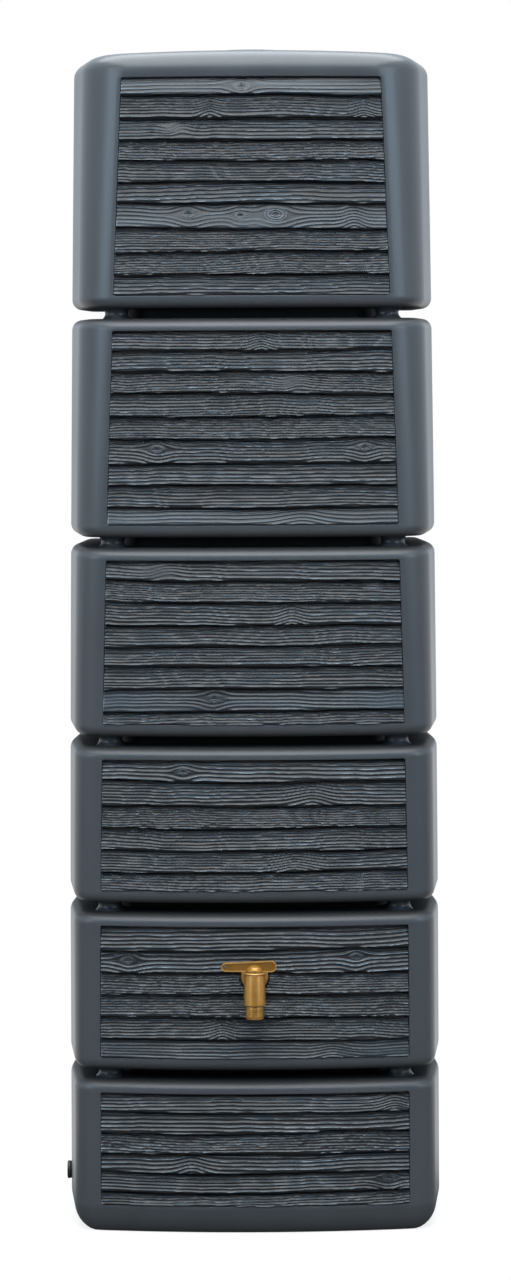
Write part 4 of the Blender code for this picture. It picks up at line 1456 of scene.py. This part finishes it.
        # Painted shade in the sunk web and painted highlight on the raised rims, stored for the
        # bronze finish.
        worn = maker.bm.verts.layers.float.new("worn")
        inset = self.web_inset
        outlines = (self.lever_outline(1.0 * MM), self.lever_eye())
        layers = [(outlines, -half + inset, half - inset, self.web_shade)]
        for outer, inner, ease in ((0.0, 1.9 * MM, 0.35 * MM), (0.45 * MM, 1.5 * MM, 0.0)):
            outlines = (self.lever_outline(outer), self.lever_outline(inner))
            layers.append((outlines, -half + ease, half - ease, self.rim_shine))
        for outlines, front, back, wear in layers:
            verts = maker.plate(outlines, front, back)
            for vert in verts:
                vert[worn] = wear
            maker.move(verts, place)
        base = self.head + self.gap
        radius, dome = self.hub, base + self.hub_wall
        hub = [
            (radius * math.sin(a), dome + self.hub_dome * math.cos(a))
            for a in np.linspace(0, math.pi / 2, 14)
        ]
        hub += shifted(radius, base, ((0, 0.5), (-0.5, 0)))
        hub += shifted(0.0, base, ((2.3, 0), (2.3, 5.6), (0, 5.6)))
        maker.move(maker.spin(hub, self.steps, closed=False), self.upright())
        maker.piece("tap_lever", finishes, finishes.bronze, Body.VALVE, "tap_handle")

    def build_gasket(self, finishes: Finishes) -> None:
        """Soft-edged rubber gasket behind the shoulder."""
        low, high = self.gasket
        back, front = -high.y, -low.y
        outer, inner = (high.x - low.x) / 2, self.gasket_bore
        maker = Mesher()
        profile = shifted(outer, front, ((-0.8, 0), (-0.2, -0.3), (0, -0.9)))
        profile += shifted(outer, back, ((0, 0.9), (-0.2, 0.3), (-0.8, 0)))
        profile += [(inner, back), (inner, front)]
        maker.move(maker.spin(profile, self.steps), self.outward())
        maker.piece("tap_flange_gasket", finishes, finishes.rubber, Body.TANK, "tap_gasket")


class DrainPlug:
    """Black screw plug with a grip rim and a driver slot low on the left side.

    The tables of points are in millimetres, outward from the axis and out of the wall.
    """

    steps = 48
    gap = 0.3 * MM
    stem = 10.0 * MM
    bore = 7.5 * MM
    pitch = 1.6 * MM
    thread_start = 1.0 * MM
    tip = 0.8 * MM
    dish = ((0, -2.4), (7.0, -2.4), (7.4, -0.3), (7.9, 0))
    rim = ((-1.6, 0), (-0.5, -0.4), (0, -1.3))
    under_edge = ((0, 0.4), (-0.4, 0))
    thread = ((-0.6, 0), (-0.05, 0.4), (-0.05, 0.6))
    bar = (13.6 * MM, 2.6 * MM, 2.2 * MM)
    bar_edge = 0.5 * MM
    bar_sunk = 1.5 * MM

    def build(self, finishes: Finishes) -> None:
        """Build the plug; its bush and seal stay the part's own."""
        low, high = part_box("drain_plug")
        middle = (low + high) / 2
        place = Matrix.Translation((0.0, middle.y, middle.z))
        place = place @ Matrix.Rotation(-math.pi / 2, 4, "Y")
        radius = (high.z - low.z) / 2
        top, end = -low.x, -high.x
        under = -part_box("drain_plug_seal")[0].x + self.gap
        stem, pitch, bore = self.stem, self.pitch, self.bore
        maker = Mesher()
        profile = shifted(0.0, top, self.dish) + shifted(radius, top, self.rim)
        profile += shifted(radius, under, self.under_edge) + [(stem, under)]
        level = under - self.thread_start
        while level - pitch > end:
            profile += [(stem + out * MM, level - share * pitch) for out, share in self.thread]
            level -= pitch
        profile += [(stem - self.tip, end), (bore, end), (bore, under), (0.0, under)]
        maker.move(maker.spin(profile, self.steps, closed=False), place)
        bar = maker.box(self.bar, self.bar_edge, 2)
        maker.move(bar, place @ Matrix.Translation((0.0, 0.0, top - self.bar_sunk)))
        maker.piece("drain_screw_plug", finishes, finishes.black, Body.STOPPER, "drain_plug")


class Studio:
    """Camera, lamps, pale floor and the white surround."""

    distance = 5.70
    eye = 1.332
    sensor = 36.0
    lens = 104.0
    shift = (0.0027, -0.2111)
    roll = 0.245
    floor_size = 14.0
    floor_gap = 0.6 * MM
    cool = (0.94, 0.98, 1.0)
    blue = (0.58, 0.80, 1.0)

    def __init__(self, front: float) -> None:
        """Keep where the front of the tank is."""
        self.front = front

    def build(self) -> None:
        """Set up the whole studio."""
        self.camera()
        self.floor()
        self.surround()
        self.lamp("ceiling", (0.0, -1.9, 4.0), (0.0, -1.9, 0.0), (4.0, 6.8), 490.0, self.cool)
        for x, name in ((-3.4, "side_left"), (3.4, "side_right")):
            self.lamp(name, (x, -3.6, 2.3), (0.0, 0.0, 1.4), (1.8, 1.8), 52.0, self.blue)
        bpy.context.scene.view_settings.view_transform = "Standard"

    def camera(self) -> None:
        """Level camera in front of the tank, shifted down to frame it."""
        data = bpy.data.cameras.new("view")
        data.sensor_width = self.sensor
        data.lens = self.lens
        data.shift_x, data.shift_y = self.shift
        made = put("view", data)
        made.location = (0.0, self.front - self.distance, self.eye)
        made.rotation_euler = (math.pi / 2, math.radians(self.roll), 0.0)
        bpy.context.scene.camera = made

    def lamp(
        self, name: str, place: Triple, aim: Triple, size: Pair, power: float, colour: Colour
    ) -> None:
        """Add a soft rectangular lamp.

        Args:
            name: Name of the lamp.
            place: Where it hangs.
            aim: Point that it faces.
            size: Width and height.
            power: Power in watts.
            colour: Colour of its light.
        """
        data = bpy.data.lights.new(name, "AREA")
        data.shape = "RECTANGLE"
        data.size, data.size_y = size
        data.energy = power
        data.color = colour
        made = put(name, data)
        made.location = place
        way = Vector(aim) - Vector(place)
        made.rotation_euler = way.to_track_quat("-Z", "Y").to_euler()

    def floor(self) -> None:
        """Pale floor that keeps a soft shadow near the tank and runs out into white."""
        bm = bmesh.new()
        bmesh.ops.create_grid(bm, x_segments=1, y_segments=1, size=self.floor_size)
        bmesh.ops.translate(bm, verts=bm.verts, vec=(0.0, 0.0, -self.floor_gap))
        mesh = baked("floor", bm)
        made = put("floor", mesh)
        material = bpy.data.materials.new("floor_pale")
        material.use_nodes = True
        graph = Graph(material.node_tree)
        seen = graph.ray("Camera")
        behind = graph.along("Y", graph.place()).band(0.0, 0.4)
        shown = (seen + graph.ray("Glossy") * behind).clamp()
        pale = graph.mix(seen, (0.20, 0.19, 0.18), (0.92, 0.92, 0.92))
        matt = graph.node("ShaderNodeBsdfDiffuse", {}, {"Color": pale})
        white = {"Color": (1.0, 1.0, 1.0, 1.0), "Strength": 1.0}
        glow = graph.node("ShaderNodeEmission", {}, white)
        away = {"operation": "LENGTH"}
        far = graph.node("ShaderNodeVectorMath", away, {0: graph.place()}, "Value").band(0.25, 0.9)
        blend = {0: shown * (0.82 + far * 0.18), 1: matt, 2: glow}
        shade = graph.node("ShaderNodeMixShader", {}, blend)
        graph.node("ShaderNodeOutputMaterial", {}, {"Surface": shade})
        mesh.materials.append(material)

    def surround(self) -> None:
        """White to the camera, bright behind the tank and dim in front of it."""
        world = bpy.data.worlds.new("surround")
        world.use_nodes = True
        bpy.context.scene.world = world
        graph = Graph(world.node_tree)
        way = graph.node("ShaderNodeTexCoord", output="Generated")
        across, depth = graph.along("X", way), graph.along("Y", way)
        upward = graph.along("Z", way).band(0.0, 1.0)
        mirrored = graph.ray("Glossy")
        plain = 0.04 + upward * 0.08 + depth.band(0.0, 0.5) * 0.88
        sides = (across * across).band(0.20, 0.70) * 0.95
        sheen = (0.03 + depth.band(-0.20, 0.30) * 0.97 + sides).clamp()
        level = plain * (1 - mirrored) + sheen * mirrored
        shown = (graph.ray("Camera") + graph.ray("Transmission")).clamp()
        strength = level * (1 - shown) + shown
        tint = graph.mix(shown, (0.84, 0.92, 1.0), (1.0, 1.0, 1.0))
        back = graph.node("ShaderNodeBackground", {}, {"Color": tint, "Strength": strength})
        graph.node("ShaderNodeOutputWorld", {}, {"Surface": back})


def dress_hidden(finishes: Finishes) -> None:
    """Give the part's own inner nodes their finishes."""
    hidden = (
        (finishes.rubber, (
            "lid_seal", "tap_inner_washer", "tap_nozzle_seal", "tap_plug_o_ring_upper",
            "tap_plug_o_ring_lower", "drain_plug_seal",
        )),
        (finishes.black, ("tap_lock_nut", "drain_insert")),
        (finishes.bronze, ("tap_plug",)),
        (finishes.steel, ("tap_stem_screw",)),
    )
    for finish, names in hidden:
        for name in names:
            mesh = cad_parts[name].data
            mesh.materials.clear()
            mesh.materials.append(finishes.of(finish))
            LOG.info("%s: %s", name, finish.name)


def panels() -> list[PlankPanel]:
    """The six panels, from the top tier down."""
    swirl, patch = KnotKind.SWIRL, KnotKind.PATCH
    heights = (
        (27, 35, 34, 32, 34, 33, 38, 36, 36, 32),
        (29, 33, 34, 35, 36, 36, 35.5, 35, 27),
        (30, 32, 36, 31, 31, 35, 34, 21),
        (32, 38, 35.5, 36, 34, 31),
        (34, 37, 34, 35.5, 34.5, 30.5),
        (27, 30, 32.5, 29, 30, 21),
    )
    knots = (
        (
            Knot(0, -0.015, 0.013), Knot(1, -0.066, 0.010, swirl), Knot(1, 0.178, 0.010, swirl),
            Knot(2, -0.120, 0.012, patch), Knot(6, -0.097, 0.012), Knot(6, -0.017, 0.009),
            Knot(6, 0.037, 0.017), Knot(6, 0.158, 0.010, swirl),
        ),
        (
            Knot(0, 0.014, 0.010, swirl), Knot(2, 0.060, 0.014, patch), Knot(5, -0.147, 0.011),
            Knot(5, 0.173, 0.010), Knot(8, 0.073, 0.022, swirl),
        ),
        (Knot(0, -0.150, 0.020, patch), Knot(2, 0.060, 0.012, swirl), Knot(6, -0.060, 0.010)),
        (Knot(0, -0.110, 0.009), Knot(1, 0.090, 0.016, swirl), Knot(4, 0.060, 0.018, swirl)),
        (
            Knot(1, -0.196, 0.010), Knot(1, 0.157, 0.009), Knot(4, -0.050, 0.010, swirl),
            Knot(5, 0.120, 0.015, swirl),
        ),
        (Knot(0, 0.215, 0.012, swirl), Knot(3, -0.097, 0.014, swirl), Knot(4, 0.205, 0.010)),
    )
    sawn = ((3, 7, 8), (2, 4), (1, 7), (2, 5), (2, 3), (2, 5))
    smooth = ((0, 6), (8,), (6,), (), (5,), ())
    rows = zip(heights, knots, sawn, smooth)
    return [PlankPanel(i + 1, *row, seed=40 + i) for i, row in enumerate(rows)]


def main() -> None:
    """Build the studio and every piece of the barrel."""
    logging.basicConfig(level=logging.INFO, format="%(message)s")
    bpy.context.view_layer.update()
    low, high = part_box("tank_shell")
    form = TankForm(top=high.z, half_depth=high.y)
    Studio(low.y).build()
    finishes = Finishes()
    boards = panels()
    fields = [(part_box(board.node)[0].z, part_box(board.node)[1].z) for board in reversed(boards)]
    Tank(form, fields).build(finishes)
    below, above = (corner.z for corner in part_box("tap_gasket"))
    hole = ((below + above) / 2, (above - below) / 2 + SEAT_GAP)
    for board in boards:
        board.build(form, finishes, hole if board.tier == TAP_TIER else None)
    Lid().build(finishes)
    LeverTap().build(finishes)
    DrainPlug().build(finishes)
    dress_hidden(finishes)


if __name__ == "__main__":
    main()
